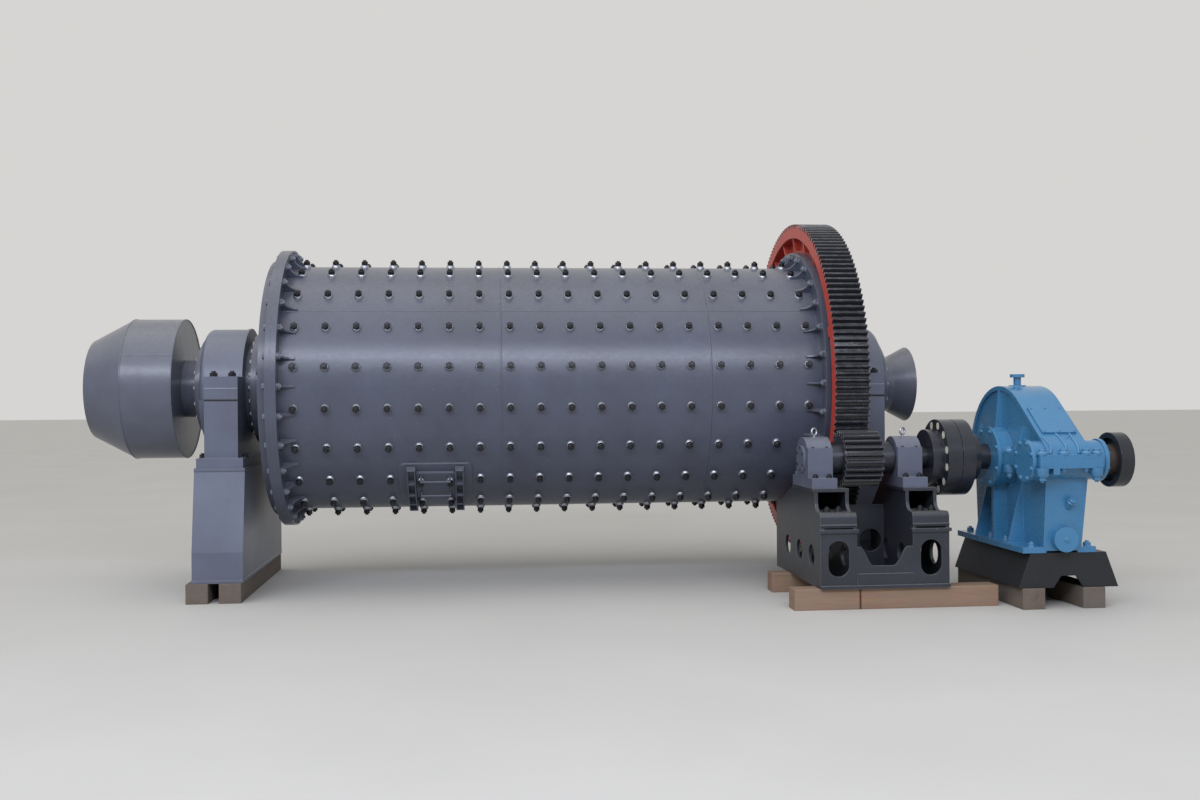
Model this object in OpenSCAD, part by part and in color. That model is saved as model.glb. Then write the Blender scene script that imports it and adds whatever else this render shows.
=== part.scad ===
// Grate-free ball mill with edge drive, standing on timber packing.
// Millimetres. X runs along the mill axis from the feed end to the drive end,
// Y runs away from the pinion side, Z is up and Z = 0 is the floor.
// Every piece is drawn from the middle of the shell, on the mill axis, and moved as one.

/* [Shell] */
// Outside diameter of the shell plate
shell_od = 2144; // [1900:1:2300]
// Thickness of the shell plate
shell_wall = 22; // [14:1:35]
// Length between the inner faces of the two shell flanges
shell_length = 4480; // [3800:10:5200]
// Outside diameter of the bolted end flanges
flange_od = 2430; // [2410:1:2480]
// Thickness of the flange welded to the shell
shell_flange_t = 45; // [30:1:60]
// Gussets behind each shell flange
gusset_count = 30; // [14:1:36]
// Length of a gusset along the shell
gusset_length = 130; // [80:1:160]
// Thickness of a gusset
gusset_t = 16; // [10:1:24]
// Height of the mill axis above the pedestal timbers
axis_over_timber = 1588; // [1540:1:1700]

/* [Heads and trunnions] */
// Thickness of the head flange
head_flange_t = 45; // [30:1:60]
// Radius of the raised disc inside the head's bolt circle
head_disc_r = 1122; // [1110:1:1124]
// How far that disc stands out from the head flange
head_disc_t = 68; // [40:1:80]
// Thickness of the conical head plate, measured along the axis
head_plate_t = 60; // [40:1:90]
// How far the head cone stands out from its flange to its hub
head_rise = 195; // [175:1:205]
// Radius of the hub flange that carries the trunnion
hub_r = 480; // [450:1:520]
// Radial ribs on a head
head_ribs = 12; // [6:1:16]
// Thickness of a head rib
head_rib_t = 30; // [20:1:40]
// Thickness of the trunnion flange
trunnion_flange_t = 45; // [30:1:50]
// Radius of the trunnion journal
journal_r = 400; // [370:1:420]
// Radius of the bore through the trunnion
trunnion_bore_r = 300; // [280:1:330]
// Radius of the collar on the outer end of the journal
collar_r = 430; // [421:1:460]
// Length of that collar along the axis
collar_t = 23; // [18:1:60]

/* [Main bearings] */
// Distance of each bearing centre from the outer face of its head flange
bearing_reach = 477; // [470:1:500]
// How far the pedestal and sole plate sit nearer to the mill than the bearing cap
seat_shift = 59; // [20:1:62]
// How far the bearing block sits nearer to the mill than the bearing cap
block_shift = 50; // [20:1:60]
// Width of the bearing cap along the axis
bearing_w = 362; // [340:1:364]
// Outside radius of the bearing cap
bearing_cap_r = 520; // [500:1:540]
// Rounding of the cap's outer edge
cap_round = 50; // [20:1:60]
// How far the cap's end plate stands out over the cap on the mill side
cap_rim = 8; // [2:1:16]
// Plate thickness of the bearing cap
bearing_cap_wall = 22; // [12:1:40]
// Room between the end plates of a bearing cap and the journal
cap_gap = 5; // [5:1:10]
// Gap between machined faces that are bolted together
seat_gap = 0.3; // [0.2:0.1:0.5]
// Running clearance between a journal and its seat
journal_gap = 0.3; // [0.1:0.1:1]
// Length of the bearing block across the mill
bearing_block_l = 1500; // [1400:10:1600]
// Width of the bearing block along the mill axis
bearing_block_w = 272; // [240:1:300]
// Height of the parting face below the mill axis
bearing_parting = 105; // [60:1:140]
// Height of the cap's side lugs above the parting face
bearing_lug_h = 195; // [120:1:240]
// Depth of the bearing block's foot below the mill axis
bearing_block_depth = 582; // [540:1:600]
// Thickness of the sole plate under the bearing block
sole_plate_t = 80; // [60:1:120]
// Width of the sole plate along the mill axis
sole_plate_w = 374; // [350:1:400]

/* [Pedestals] */
// Width of a pedestal along the mill axis
pedestal_w = 405; // [380:1:440]
// Length of a pedestal across the mill at its top
pedestal_top_l = 1720; // [1620:10:1760]
// Length of a pedestal across the mill at its foot
pedestal_foot_l = 1950; // [1800:10:1950]
// Height of the upright foot of a pedestal
pedestal_foot_h = 249; // [150:1:400]
// Thickness of the plates on top of a pedestal and under its foot
pedestal_plate_t = 25; // [16:1:40]
// How far those plates stand out in front and behind
pedestal_plate_lip = 12; // [0:1:20]

/* [Timber packing] */
// Height of every packing timber
timber_h = 160; // [120:1:200]
// Width of every packing timber
timber_w = 174; // [140:1:190]
// How far the timbers stick out beyond the pedestal's foot at each end
pedestal_timber_out = 30; // [25:1:40]
// Distance between the middles of the two timbers under a pedestal
pedestal_timber_pitch = 262; // [220:1:290]
// How far those timbers sit nearer to the mill than the bearing
pedestal_timber_shift = 32; // [0:1:60]

// How far the pinion base's front timber reaches out beyond the left bearing
front_timber_left = 185; // [100:1:240]
// How far that timber reaches out beyond the right side frame
front_timber_right = 395; // [200:1:450]
// How far the timber under the left side frame's back reaches out on the left
back_timber_left = 155; // [50:1:200]

/* [Girth gear] */
// Module of the girth gear and pinion
gear_module = 18; // [17.9:0.1:18.1]
// Teeth on the girth gear
gear_teeth = 162; // [161:1:163]
// Teeth on the pinion
pinion_teeth = 23; // [22:1:24]
// Pressure angle of the teeth
pressure_angle = 20; // [19:0.5:22]
// Face width of the girth gear
gear_face = 285; // [250:1:290]
// How far the middle of the gear face lies outside the head flange face
gear_offset = 57; // [50:1:64]
// Thickness of metal under the gear tooth roots
gear_rim_t = 85; // [60:1:100]
// Thickness of the gear web
gear_web_t = 60; // [40:1:80]
// Inner radius of the gear web
gear_web_r = 1126; // [1125:1:1140]
// Pairs of ribs between the gear web and its rim
gear_rib_count = 24; // [12:2:30]
// Thickness of a gear rib
gear_rib_t = 28; // [20:1:40]
// Gap between the flange rims and the gear's ribs and joint lugs
gear_clear = 25; // [15:1:40]
// How far the joint lugs and ribs stop short of the gear's faces
gear_lug_inset = 20; // [10:1:30]
// Thickness of a joint lug
gear_lug_t = 45; // [30:1:60]
// Metal taken off each tooth for backlash, along the pitch circle
tooth_thinning = 0.7; // [0.5:0.1:1.4]
// Angle of the joint between the gear halves above the horizontal, pinion side
gear_joint_angle = 20; // [10:1:30]
// Angle of the pinion below the horizontal through the mill axis
pinion_angle = 21.54; // [20:0.01:24]

/* [Pinion line] */
// Face width of the pinion
pinion_face = 305; // [291:1:320]
// Radius of the pinion shaft in its bearings
pinion_shaft_r = 90; // [70:1:100]
// Radius of the shaft collars beside the pinion
pinion_collar_r = 130; // [110:1:150]
// Distance between the middles of the two pinion bearings
pinion_bearing_span = 728; // [710:1:740]
// Width of a pinion bearing along its shaft
pinion_bearing_w = 200; // [180:1:210]
// Outside radius of a pinion bearing
pinion_bearing_r = 174; // [160:1:190]
// Height of the pinion shaft above its base
pinion_seat_drop = 220; // [215:1:240]
// Height of a pinion bearing's foot
pinion_foot_h = 80; // [50:1:100]
// Length of a pinion bearing's foot across its shaft
pinion_foot_l = 580; // [520:1:600]
// How far the two pinion bearings sit off the middle of the pinion
pinion_bearing_shift = 11; // [0:1:20]
// Height of the pinion bearing caps' bolting lugs above the shaft
pinion_lug_h = 92; // [60:1:110]
// Thickness of the closed end of the left-hand pinion bearing
bearing_end_t = 15; // [10:1:25]
// Gap between a pinion bearing and the shaft collar beside it
collar_gap = 4; // [2:1:8]
// Height of a lifting eye's shank
eye_shank_h = 14; // [10:1:20]
// Radius of a lifting eye, to the middle of its ring
eye_r = 27; // [22:1:32]
// Radius of the bar of a lifting eye
eye_bar_r = 8; // [6:1:10]

/* [Pinion base] */
// Thickness of the plates of the pinion base
base_plate_t = 25; // [16:1:36]
// Front face of the base in front of the pinion axis
base_front = 452; // [430:1:480]
// Back of the left-hand side frame behind the pinion axis
base_left_back = 908; // [860:1:920]
// Gap between the base's right side frame and the foot of the discharge pedestal
base_pedestal_gap = 34; // [28:1:90]
// Gap between the base's right back timber and the timbers under the pedestal
timber_gap = 24; // [10:1:60]
// How much further back the base's left back timber lies than the right one
timber_stagger = 100; // [80:1:140]
// Depth of the bearing seat from its front edge to the pinion axis
seat_front = 300; // [291:1:340]
// Height of the low front shelf above the underside of the base
shelf_h = 581; // [560:1:620]
// Height of the ledge over the front legs
ledge_h = 455; // [430:1:480]
// How far the side frames sit nearer to the gearbox than their bearings
base_shift = 16; // [0:1:26]
// Width of the left-hand side frame along the shaft
left_frame_w = 285; // [275:1:290]
// Width of the right-hand side frame along the shaft
right_frame_w = 290; // [275:1:300]
// Radius of the oval hand holes in the front legs
oval_r = 83; // [60:1:95]
// Straight height of the oval hand holes
oval_h = 110; // [60:1:140]
// Radius of the round holes in the side plates
side_hole_r = 85; // [50:1:100]
// Distance from the base's front to the first round hole in a side
side_hole_start = 260; // [240:1:280]
// Distance between the round holes in a side
side_hole_pitch = 360; // [300:1:400]
// Height of the front cross beam
beam_h = 318; // [280:1:360]
// Depth of the cut-out in the front cross beam
beam_notch = 146; // [100:1:180]
// Height of the thicker strip along the foot of the front cross beam
beam_strip_h = 114; // [90:1:130]
// Radius of the bend between the bearing seat and the front shelf
step_r = 80; // [60:1:90]
// Height of the side frames at their back
frame_back_h = 540; // [500:1:550]
// Height of the middle of the hand holes
hole_height = 230; // [220:1:240]
// Radius of the holes in the plate between the side frames
cross_hole_r = 95; // [70:1:100]
// Height of the plate that ties the side frames at the back
back_tie_h = 200; // [150:1:250]
// Rounding of the shelf's front edge
shelf_round = 40; // [30:1:60]
// How far the ledge stands out from the legs
ledge_out = 22; // [10:1:30]
// Depth of the shelf inside the opening under a bearing seat
shelf_in = 160; // [100:1:200]
// Radius of the half-round rib over the ledge
rib_bar_r = 9; // [6:1:12]
// Height of the slot between the ledge and the panel over it
ledge_slot_h = 14; // [8:1:20]

/* [Low-speed coupling] */
// Outside radius of the pin coupling
coupling_r = 306; // [296:1:316]
// Gap between the right-hand pinion bearing and the coupling
coupling_gap = 76; // [66:1:90]
// Radius of the driven half's hub
driven_hub_r = 225; // [150:1:226]
// Length of the driven half's hub
driven_hub_l = 94; // [60:1:110]
// Length of the driven half's disc
driven_disc_t = 115; // [80:1:130]
// Gap between the two halves
halves_gap = 6; // [5:1:16]
// Length of the driving half's disc
driving_disc_t = 104; // [80:1:130]
// Radius of the driving half's hub
driving_hub_r = 190; // [150:1:220]
// Length of the driving half's hub
driving_hub_l = 90; // [60:1:100]
// Pins through the coupling
coupling_pin_count = 12; // [8:1:16]
// Radius of a coupling pin
coupling_pin_r = 30; // [20:1:32]
// Radius of the circle that the pins lie on
coupling_pin_circle = 262; // [258:1:265]

/* [Gearbox] */
// Middle of the gearbox beyond the middle of the pinion
gearbox_reach = 1375; // [1370:1:1450]
// Distance between the input and output shafts
shaft_centres = 682; // [650:1:720]
// Length of the gearbox bosses from face to face
boss_length = 600; // [560:1:610]
// Width of the gearbox casing between its side walls
case_w = 336; // [320:1:360]
// How far the upper and lower casing walls sit off the middle, one each way
case_shift = 20; // [0:1:25]
// Depth of the recess in the side walls of the upper casing
wall_recess = 16; // [8:1:24]
// Width of the band round those walls
band_w = 34; // [20:1:50]
// How much narrower each side of the lower casing is at its foot
case_taper = 18; // [0:1:30]
// How far the front wall leans out over the foot, from its bottom to the parting face
case_front_lean = 105; // [60:1:125]
// Radius of the upper casing over the output gear
case_top_r = 571; // [540:1:600]
// Radius of the upper casing over the input shaft
case_nose_r = 165; // [150:1:185]
// Radius of the boss round the output shaft
output_boss_r = 235; // [210:1:250]
// Radius of the boss round the input shaft
input_boss_r = 150; // [140:1:160]
// Height of each half of the parting flange
parting_t = 52; // [35:1:70]
// How far the parting flange stands out from the casing walls
parting_lip = 75; // [50:1:90]
// Depth of the casing foot below the shafts
case_depth = 709; // [680:1:740]
// Thickness of the casing foot
case_foot_t = 45; // [30:1:60]
// Width of the casing foot along the shafts
case_foot_w = 580; // [520:1:600]
// Front edge of the casing foot in front of the output shaft
foot_front = 642; // [620:1:660]
// Back edge of the casing foot behind the output shaft
foot_back = 618; // [600:1:640]
// Radius of the output shaft
output_shaft_r = 100; // [80:1:120]
// Radius of the input shaft
input_shaft_r = 55; // [40:1:70]
// Length of each shaft inside the casing
shaft_seat = 180; // [150:1:200]
// Thickness of the bearing covers
cover_t = 28; // [20:1:35]
// Thickness of the casing's ribs
case_rib_t = 24; // [16:1:30]
// How far the short ribs stand out from the sides of the upper casing
case_rib_out = 62; // [40:1:70]
// Distance of the foot's gussets from the output shaft, in front and behind
case_gusset_reach = 310; // [290:1:330]
// Height of the gussets over the stand
case_gusset_h = 580; // [500:1:600]
// Length of foot left beyond the gussets' lower ends
case_gusset_inset = 18; // [10:1:30]
// Width of the relief under the foot
foot_relief_w = 250; // [200:1:280]
// Depth of the relief under the foot
foot_relief_h = 16; // [8:1:24]
// Height of the two short ribs on the sides of the upper casing
short_rib_h = 250; // [200:1:270]
// Distance of the short rib behind the output shaft
back_rib_reach = 360; // [340:1:370]
// Distance of the short rib behind the input shaft
nose_rib_reach = 260; // [240:1:300]
// Distance between the bolt bosses under the front of the parting flange
bolt_boss_pitch = 312; // [280:1:330]
// Width of a bolt boss
bolt_boss_w = 48; // [30:1:60]
// Height of the bolt bosses under the parting flange
bolt_boss_h = 46; // [30:1:60]
// Radius of the breather cap
breather_r = 58; // [50:1:65]
// Radius of the breather's stem
breather_stem_r = 30; // [24:1:36]
// Height of the breather cap
breather_cap_h = 26; // [18:1:32]
// Height of the breather over its boss
breather_h = 90; // [80:1:100]
// Radius of the round cover low on the front
oil_cover_r = 95; // [80:1:98]
// Height of its lower edge over the stand
oil_cover_low = 12; // [4:1:30]
// Thickness of that cover
oil_cover_t = 60; // [40:1:65]
// Length of the inspection cover
inspection_cover_l = 320; // [280:1:340]
// Width of the inspection cover
inspection_cover_w = 268; // [200:1:300]
// Thickness of the inspection cover
inspection_cover_t = 16; // [10:1:20]

/* [Gearbox stand] */
// Width of the stand at its top, along the shafts
stand_top_w = 600; // [560:1:640]
// Width of the stand at its foot, along the shafts
stand_foot_w = 796; // [700:1:820]
// How far the stand's middle lies beyond the middle of the gearbox
stand_shift = 76; // [0:1:90]
// Distance between the middles of the stand's two timbers
stand_timber_pitch = 480; // [460:1:500]
// How far those timbers sit nearer to the mill than the stand's middle
stand_timber_shift = 43; // [20:1:60]
// Width of the notch in the foot of the stand
stand_notch_w = 240; // [200:1:260]
// Height of the notch in the foot of the stand
stand_notch_h = 90; // [40:1:120]
// Thickness of the stand's plates
stand_plate_t = 20; // [12:1:30]

/* [Motor half coupling] */
// Radius of the half coupling on the input shaft
half_coupling_r = 207; // [180:1:220]
// Length of its rim
half_coupling_t = 104; // [80:1:120]
// Thickness of its rim and of its face plate
half_coupling_rim_t = 40; // [30:1:50]
// Radius of its hub
half_coupling_hub_r = 115; // [90:1:130]
// Length of its hub
half_coupling_hub_l = 68; // [50:1:90]

/* [Feed end] */
// Radius of the neck tube at both ends of the mill
neck_r = 250; // [220:1:270]
// Wall of the neck tubes
neck_wall = 16; // [10:1:24]
// Radius of the neck flange
neck_flange_r = 380; // [360:1:400]
// Thickness of the neck flange
neck_flange_t = 30; // [20:1:40]
// Gap from the neck flange to the feed drum
feed_drum_gap = 144; // [100:1:180]
// Radius of the feed drum
feed_drum_r = 610; // [560:1:650]
// Length of the round part of the feed drum
feed_drum_l = 420; // [360:1:460]
// Length of the feed drum's cone
feed_cone_l = 340; // [280:1:380]
// Radius of the feed mouth
feed_mouth_r = 428; // [380:1:460]
// Plate thickness of the feed drum
feed_drum_wall = 14; // [8:1:20]

/* [Discharge end] */
// Straight length of the discharge neck outside its flange
discharge_neck_l = 108; // [80:1:140]
// Length of the discharge cone
discharge_cone_l = 179; // [140:1:220]
// Radius of the discharge mouth
discharge_mouth_r = 343; // [300:1:380]

/* [Manhole] */
// Distance of the manhole from the middle of the shell, towards the feed end
manhole_x = 1000; // [750:250:1250]
// Angle of the manhole door below the horizontal, pinion side
manhole_angle = 47.6; // [46:0.1:49]
// Length of the manhole door along the shell
manhole_l = 326; // [300:1:327]
// Reach of the manhole door round the shell, in degrees
manhole_deg = 13.6; // [12:0.1:14.5]
// Thickness of the manhole door
manhole_t = 24; // [16:1:30]
// How far the door laps over the edge of its opening
manhole_lap = 30; // [20:1:40]
// Length of the frame plate welded round the manhole
frame_plate_l = 610; // [580:1:640]
// Reach of the frame plate round the shell, in degrees
frame_plate_deg = 36; // [34:0.5:37]
// Angle of the middle of the frame plate below the horizontal
frame_plate_angle = 54.6; // [53:0.1:56]
// Thickness of the frame plate
frame_plate_t = 12; // [8:1:20]
// Rounding of the frame plate's corners
frame_corner_r = 45; // [20:1:60]
// Distance between the middles of the clamp channels
clamp_pitch = 400; // [400:1:420]
// Width of the clamp channels beside the door
clamp_w = 72; // [60:1:80]
// Height of the clamp channels over the frame plate
clamp_h = 58; // [45:1:70]
// Wall of the clamp channels
clamp_wall = 10; // [6:1:14]
// Pockets along a clamp channel
clamp_pockets = 4; // [3:1:6]
// Distance between the legs of a door handle
handle_l = 240; // [200:1:260]
// Height of a door handle
handle_h = 75; // [60:1:85]
// Radius of the bar of a door handle
handle_r = 8; // [6:1:10]

/* [Hidden] */
$fn = 96;
shell_r = shell_od / 2;
flange_r = flange_od / 2;
axis_h = timber_h + axis_over_timber;
half = shell_length / 2;
head_in = half + shell_flange_t;
head_out = head_in + head_flange_t;
disc_face = head_out + head_disc_t;
hub_face = head_out + head_rise;
trunnion_face = hub_face + trunnion_flange_t;
bearing_x = head_out + bearing_reach;
seat_x = bearing_x - seat_shift;
block_x = bearing_x - block_shift;
collar_x = bearing_x + bearing_w / 2 + 10;
trunnion_end = collar_x + collar_t;
neck_face = trunnion_end + neck_flange_t;
sole_top = axis_h - bearing_block_depth;
pedestal_top = sole_top - sole_plate_t;
gear_pitch_r = gear_module * gear_teeth / 2;
pinion_pitch_r = gear_module * pinion_teeth / 2;
gear_centres = gear_pitch_r + pinion_pitch_r;
gear_tip_r = gear_pitch_r + gear_module;
dedendum = 1.25 * gear_module;
gear_rim_in = gear_pitch_r - dedendum - gear_rim_t;
gear_x = head_out + gear_offset;
pinion_y = -round(10 * gear_centres * cos(pinion_angle)) / 10;
pinion_z = axis_h - round(10 * gear_centres * sin(pinion_angle)) / 10;
mesh_angle = 180 + atan2(axis_h - pinion_z, -pinion_y);
joint_step = floor((pinion_angle + gear_joint_angle) * gear_teeth / 360) + 0.5;
joint_angle = mesh_angle - joint_step * 360 / gear_teeth;
pinion_x = gear_x;
left_bearing_x = pinion_x - pinion_bearing_span / 2 + pinion_bearing_shift;
right_bearing_x = pinion_x + pinion_bearing_span / 2 + pinion_bearing_shift;
seat_z = pinion_z - pinion_seat_drop;
driven_x = right_bearing_x + pinion_bearing_w / 2 + coupling_gap;
driven_disc_x = driven_x + driven_hub_l;
driving_x = driven_disc_x + driven_disc_t + halves_gap;
hub_x = driving_x + driving_disc_t;
gearbox_x = pinion_x + gearbox_reach;
boss_left = gearbox_x - boss_length / 2;
boss_right = gearbox_x + boss_length / 2;
upper_case_x = gearbox_x - case_shift;
lower_case_x = gearbox_x + case_shift;
input_y = pinion_y - shaft_centres;
case_bottom = pinion_z - case_depth;
case_front = pinion_y - foot_front - case_front_lean;
stand_x = gearbox_x + stand_shift;
drum_face = neck_face + feed_drum_gap;
feed_end = drum_face + feed_drum_l + feed_cone_l;
drive_end = boss_right + half_coupling_hub_l + half_coupling_t;
front_end = input_y - case_nose_r - parting_lip / 2;
breather_z = pinion_z + case_top_r + 6;
breather_x = gearbox_x - 30;
frame_r = shell_r + frame_plate_t;
ledge_z = timber_h + ledge_h;
shelf_z = timber_h + shelf_h;
left_frame_x = left_bearing_x - pinion_bearing_w / 2 + base_shift;
right_frame_x = right_bearing_x - pinion_bearing_w / 2 + base_shift;
case_lean = (case_top_r - case_nose_r) / shaft_centres;
case_rise = sqrt(1 - case_lean * case_lean);
pedestal_timber_l = pedestal_foot_l + 2 * pedestal_timber_out;
base_right_back = -pinion_y - pedestal_foot_l / 2 - base_pedestal_gap;
machine_x = (feed_end - drive_end) / 2;
machine_y = -(front_end + gear_tip_r) / 2;

// Everything is drawn round the middle of the shell and then set on its place
module machine() {
    translate([machine_x, machine_y, 0]) children();
}

// A flat shape in the Y-Z plane, drawn out along the mill axis from x
module plate_x(x, length, y = 0, z = 0) {
    translate([x, y, z]) rotate([90, 0, 90]) linear_extrude(length) children();
}

// A flat shape in the X-Z plane, drawn out backwards from y
module plate_y(y, length) {
    translate([0, y + length, 0]) rotate([90, 0, 0]) linear_extrude(length) children();
}

// A round bar along the mill axis
module bar(x, length, r, y = 0, z = axis_h) {
    translate([x, y, z]) rotate([0, 90, 0]) cylinder(h = length, r = r);
}

// A turned piece: the outline gives radius and place along the mill axis
module turned(y = 0, z = axis_h) {
    translate([0, y, z]) rotate([0, 90, 0]) rotate_extrude() children();
}

// A block from its lowest to its highest corner
module block(low, high) {
    translate(low) cube(high - low);
}

// The piece is drawn at the discharge end; the feed end is its mirror image
module feed_side() {
    mirror([1, 0, 0]) children();
}

// Involute gear outline: polar half angles of a tooth at a radius
function roll(a) = tan(a) * 180 / PI - a;
function tooth_half(r, teeth, base_r) =
    90 / teeth - tooth_thinning / (gear_module * teeth) * 180 / PI
    + roll(pressure_angle) - roll(acos(min(1, base_r / r)));
function polar(r, a) = [r * cos(a), r * sin(a)];
function flank_radii(root_r, base_r, tip_r, steps) =
    [for (i = [0 : steps]) max(root_r, base_r) + (tip_r - max(root_r, base_r)) * i / steps];
function tooth(teeth, middle, steps = 3) =
    let (
        pitch_r = gear_module * teeth / 2,
        base_r = pitch_r * cos(pressure_angle),
        root_r = pitch_r - dedendum,
        radii = flank_radii(root_r, base_r, pitch_r + gear_module, steps),
        root_half = tooth_half(max(root_r, base_r), teeth, base_r)
    )
    concat(
        root_r < base_r ? [polar(root_r, middle - root_half)] : [],
        [for (r = radii) polar(r, middle - tooth_half(r, teeth, base_r))],
        [for (i = [len(radii) - 1 : -1 : 0])
            polar(radii[i], middle + tooth_half(radii[i], teeth, base_r))],
        root_r < base_r ? [polar(root_r, middle + root_half)] : []
    );

module feed_timbers() {
    color("rosybrown") machine() feed_side() pedestal_timbers();
}

module discharge_timbers() {
    color("rosybrown") machine() pedestal_timbers();
}

// Two long timbers across the mill under a pedestal
module pedestal_timbers() {
    for (side = [-1, 1]) {
        x = bearing_x - pedestal_timber_shift + side * pedestal_timber_pitch / 2;
        block([x - timber_w / 2, -pedestal_timber_l / 2, 0],
              [x + timber_w / 2, pedestal_timber_l / 2, timber_h]);
    }
}

module feed_pedestal() {
    color("slategray") machine() feed_side() pedestal();
}

module discharge_pedestal() {
    color("slategray") machine() pedestal();
}

// Welded pedestal: foot plate, upright foot, sides that lean in, and a top plate
module pedestal() {
    bend_z = timber_h + pedestal_foot_h;
    t = pedestal_plate_t;
    plate_x(seat_x - pedestal_w / 2, pedestal_w) polygon([
        [-pedestal_foot_l / 2, timber_h],
        [pedestal_foot_l / 2, timber_h],
        [pedestal_foot_l / 2, bend_z],
        [pedestal_top_l / 2, pedestal_top],
        [-pedestal_top_l / 2, pedestal_top],
        [-pedestal_foot_l / 2, bend_z]
    ]);
    for (plate = [[timber_h, pedestal_foot_l / 2], [pedestal_top - t, pedestal_top_l / 2]])
        block([seat_x - pedestal_w / 2, -plate[1] - pedestal_plate_lip, plate[0]],
              [seat_x + pedestal_w / 2, plate[1] + pedestal_plate_lip, plate[0] + t]);
}

module feed_bearing_base() {
    color("slategray") machine() feed_side() bearing_base();
}

module discharge_bearing_base() {
    color("slategray") machine() bearing_base();
}

// Lower half of the trunnion bearing with its sole plate and half-round seat
module bearing_base() {
    parting_z = axis_h - bearing_parting;
    difference() {
        union() {
            block([seat_x - sole_plate_w / 2, -pedestal_top_l / 2, pedestal_top],
                  [seat_x + sole_plate_w / 2, pedestal_top_l / 2, sole_top]);
            block([block_x - bearing_block_w / 2, -bearing_block_l / 2, sole_top],
                  [block_x + bearing_block_w / 2, bearing_block_l / 2, parting_z]);
            intersection() {
                bar(bearing_x - bearing_w / 2, bearing_w, bearing_cap_r);
                block([bearing_x - bearing_w, -bearing_cap_r, sole_top],
                      [bearing_x + bearing_w, bearing_cap_r, parting_z]);
            }
        }
        bar(bearing_x - bearing_w, 2 * bearing_w, journal_r + journal_gap);
    }
}

module feed_bearing_cap() {
    color("slategray") machine() feed_side() bearing_cap();
}

module discharge_bearing_cap() {
    color("slategray") machine() bearing_cap();
}

// Hollow half-round cover with a rounded outer edge and a bolting lug on each side
module bearing_cap() {
    low = axis_h - bearing_parting + seat_gap;
    x0 = bearing_x - bearing_w / 2;
    difference() {
        union() {
            intersection() {
                union() {
                    turned() translate([0, x0]) cap_outline();
                    bar(x0, bearing_cap_wall, bearing_cap_r + cap_rim);
                }
                block([x0 - 1, -bearing_cap_r - cap_rim, low],
                      [x0 + bearing_w + 1, bearing_cap_r + cap_rim, axis_h + 2 * bearing_cap_r]);
            }
            block([block_x - bearing_block_w / 2, -bearing_block_l / 2, low],
                  [block_x + bearing_block_w / 2, bearing_block_l / 2, low + bearing_lug_h]);
        }
        bar(x0 + bearing_cap_wall, bearing_w - 2 * bearing_cap_wall,
            bearing_cap_r - bearing_cap_wall);
        bar(x0 - bearing_w, 3 * bearing_w, journal_r + cap_gap);
    }
}

// Half section of the cap: radius and width, with a rounded outer corner
module cap_outline() {
    square([bearing_cap_r, bearing_w - cap_round]);
    square([bearing_cap_r - cap_round, bearing_w]);
    translate([bearing_cap_r - cap_round, bearing_w - cap_round]) circle(r = cap_round);
}

// Rolled shell with its two flanges, gussets and the frame plate round the manhole
module shell() {
    color([0.30, 0.33, 0.38]) machine() difference() {
        union() {
            turned() polygon([
                [shell_r - shell_wall, -head_in],
                [flange_r, -head_in],
                [flange_r, -half],
                [shell_r, -half],
                [shell_r, half],
                [flange_r, half],
                [flange_r, head_in],
                [shell_r - shell_wall, head_in]
            ]);
            gusset_ring();
            feed_side() gusset_ring();
            bent_plate(frame_plate_angle, frame_plate_l, chord(frame_plate_deg), frame_corner_r,
                       shell_r - 2, frame_r);
        }
        outward(manhole_angle) linear_extrude(2 * shell_r)
            rounded(manhole_l - 2 * manhole_lap, chord(manhole_deg) - 2 * manhole_lap, manhole_lap);
    }
}

// Straight distance across an arc of the shell
function chord(angle) = 2 * shell_r * sin(angle / 2);

// Gussets between the shell and its flange, each with a hollow curved edge
module gusset_ring() {
    top = flange_r - 15;
    for (i = [0 : gusset_count - 1])
        translate([0, 0, axis_h]) rotate([(i + 0.5) * 360 / gusset_count, 0, 0])
            translate([0, gusset_t / 2, 0]) rotate([90, 0, 0]) linear_extrude(gusset_t)
                difference() {
                    translate([half - gusset_length, shell_r - 2])
                        square([gusset_length + 1, top - shell_r + 2]);
                    translate([half - gusset_length, top]) circle(r = gusset_length - 20);
                }
}

// Turned so that up is straight out of the shell at the manhole, at an angle below the horizontal
module outward(angle) {
    translate([-manhole_x, 0, axis_h]) rotate([90 + angle, 0, 0]) children();
}

// Rectangle with rounded corners
module rounded(length, width, r) {
    square([length - 2 * r, width], center = true);
    square([length, width - 2 * r], center = true);
    for (x = [-1, 1], y = [-1, 1])
        translate([x * (length / 2 - r), y * (width / 2 - r)]) circle(r = r);
}

// Round-cornered plate bent over the shell between two radii
module bent_plate(angle, length, width, corner, r_in, r_out) {
    intersection() {
        outward(angle) linear_extrude(2 * shell_r) rounded(length, width, corner);
        turned() translate([r_in, -manhole_x - length]) square([r_out - r_in, 2 * length]);
    }
}

// Curved door with the plug that fills the opening, and two rod handles
module manhole_cover() {
    plug_gap = 2;
    plug_l = manhole_l - 2 * manhole_lap - plug_gap;
    plug_w = chord(manhole_deg) - 2 * manhole_lap - plug_gap;
    door_r = frame_r + seat_gap;
    color([0.30, 0.33, 0.38]) machine() {
        bent_plate(manhole_angle, manhole_l, chord(manhole_deg), 10, door_r, door_r + manhole_t);
        bent_plate(manhole_angle, plug_l, plug_w, manhole_lap - plug_gap / 2,
                   shell_r - shell_wall, door_r + 1);
        for (side = [-1, 1])
            outward(manhole_angle + side * manhole_deg / 3) handle(door_r + manhole_t - 2);
    }
}

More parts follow.
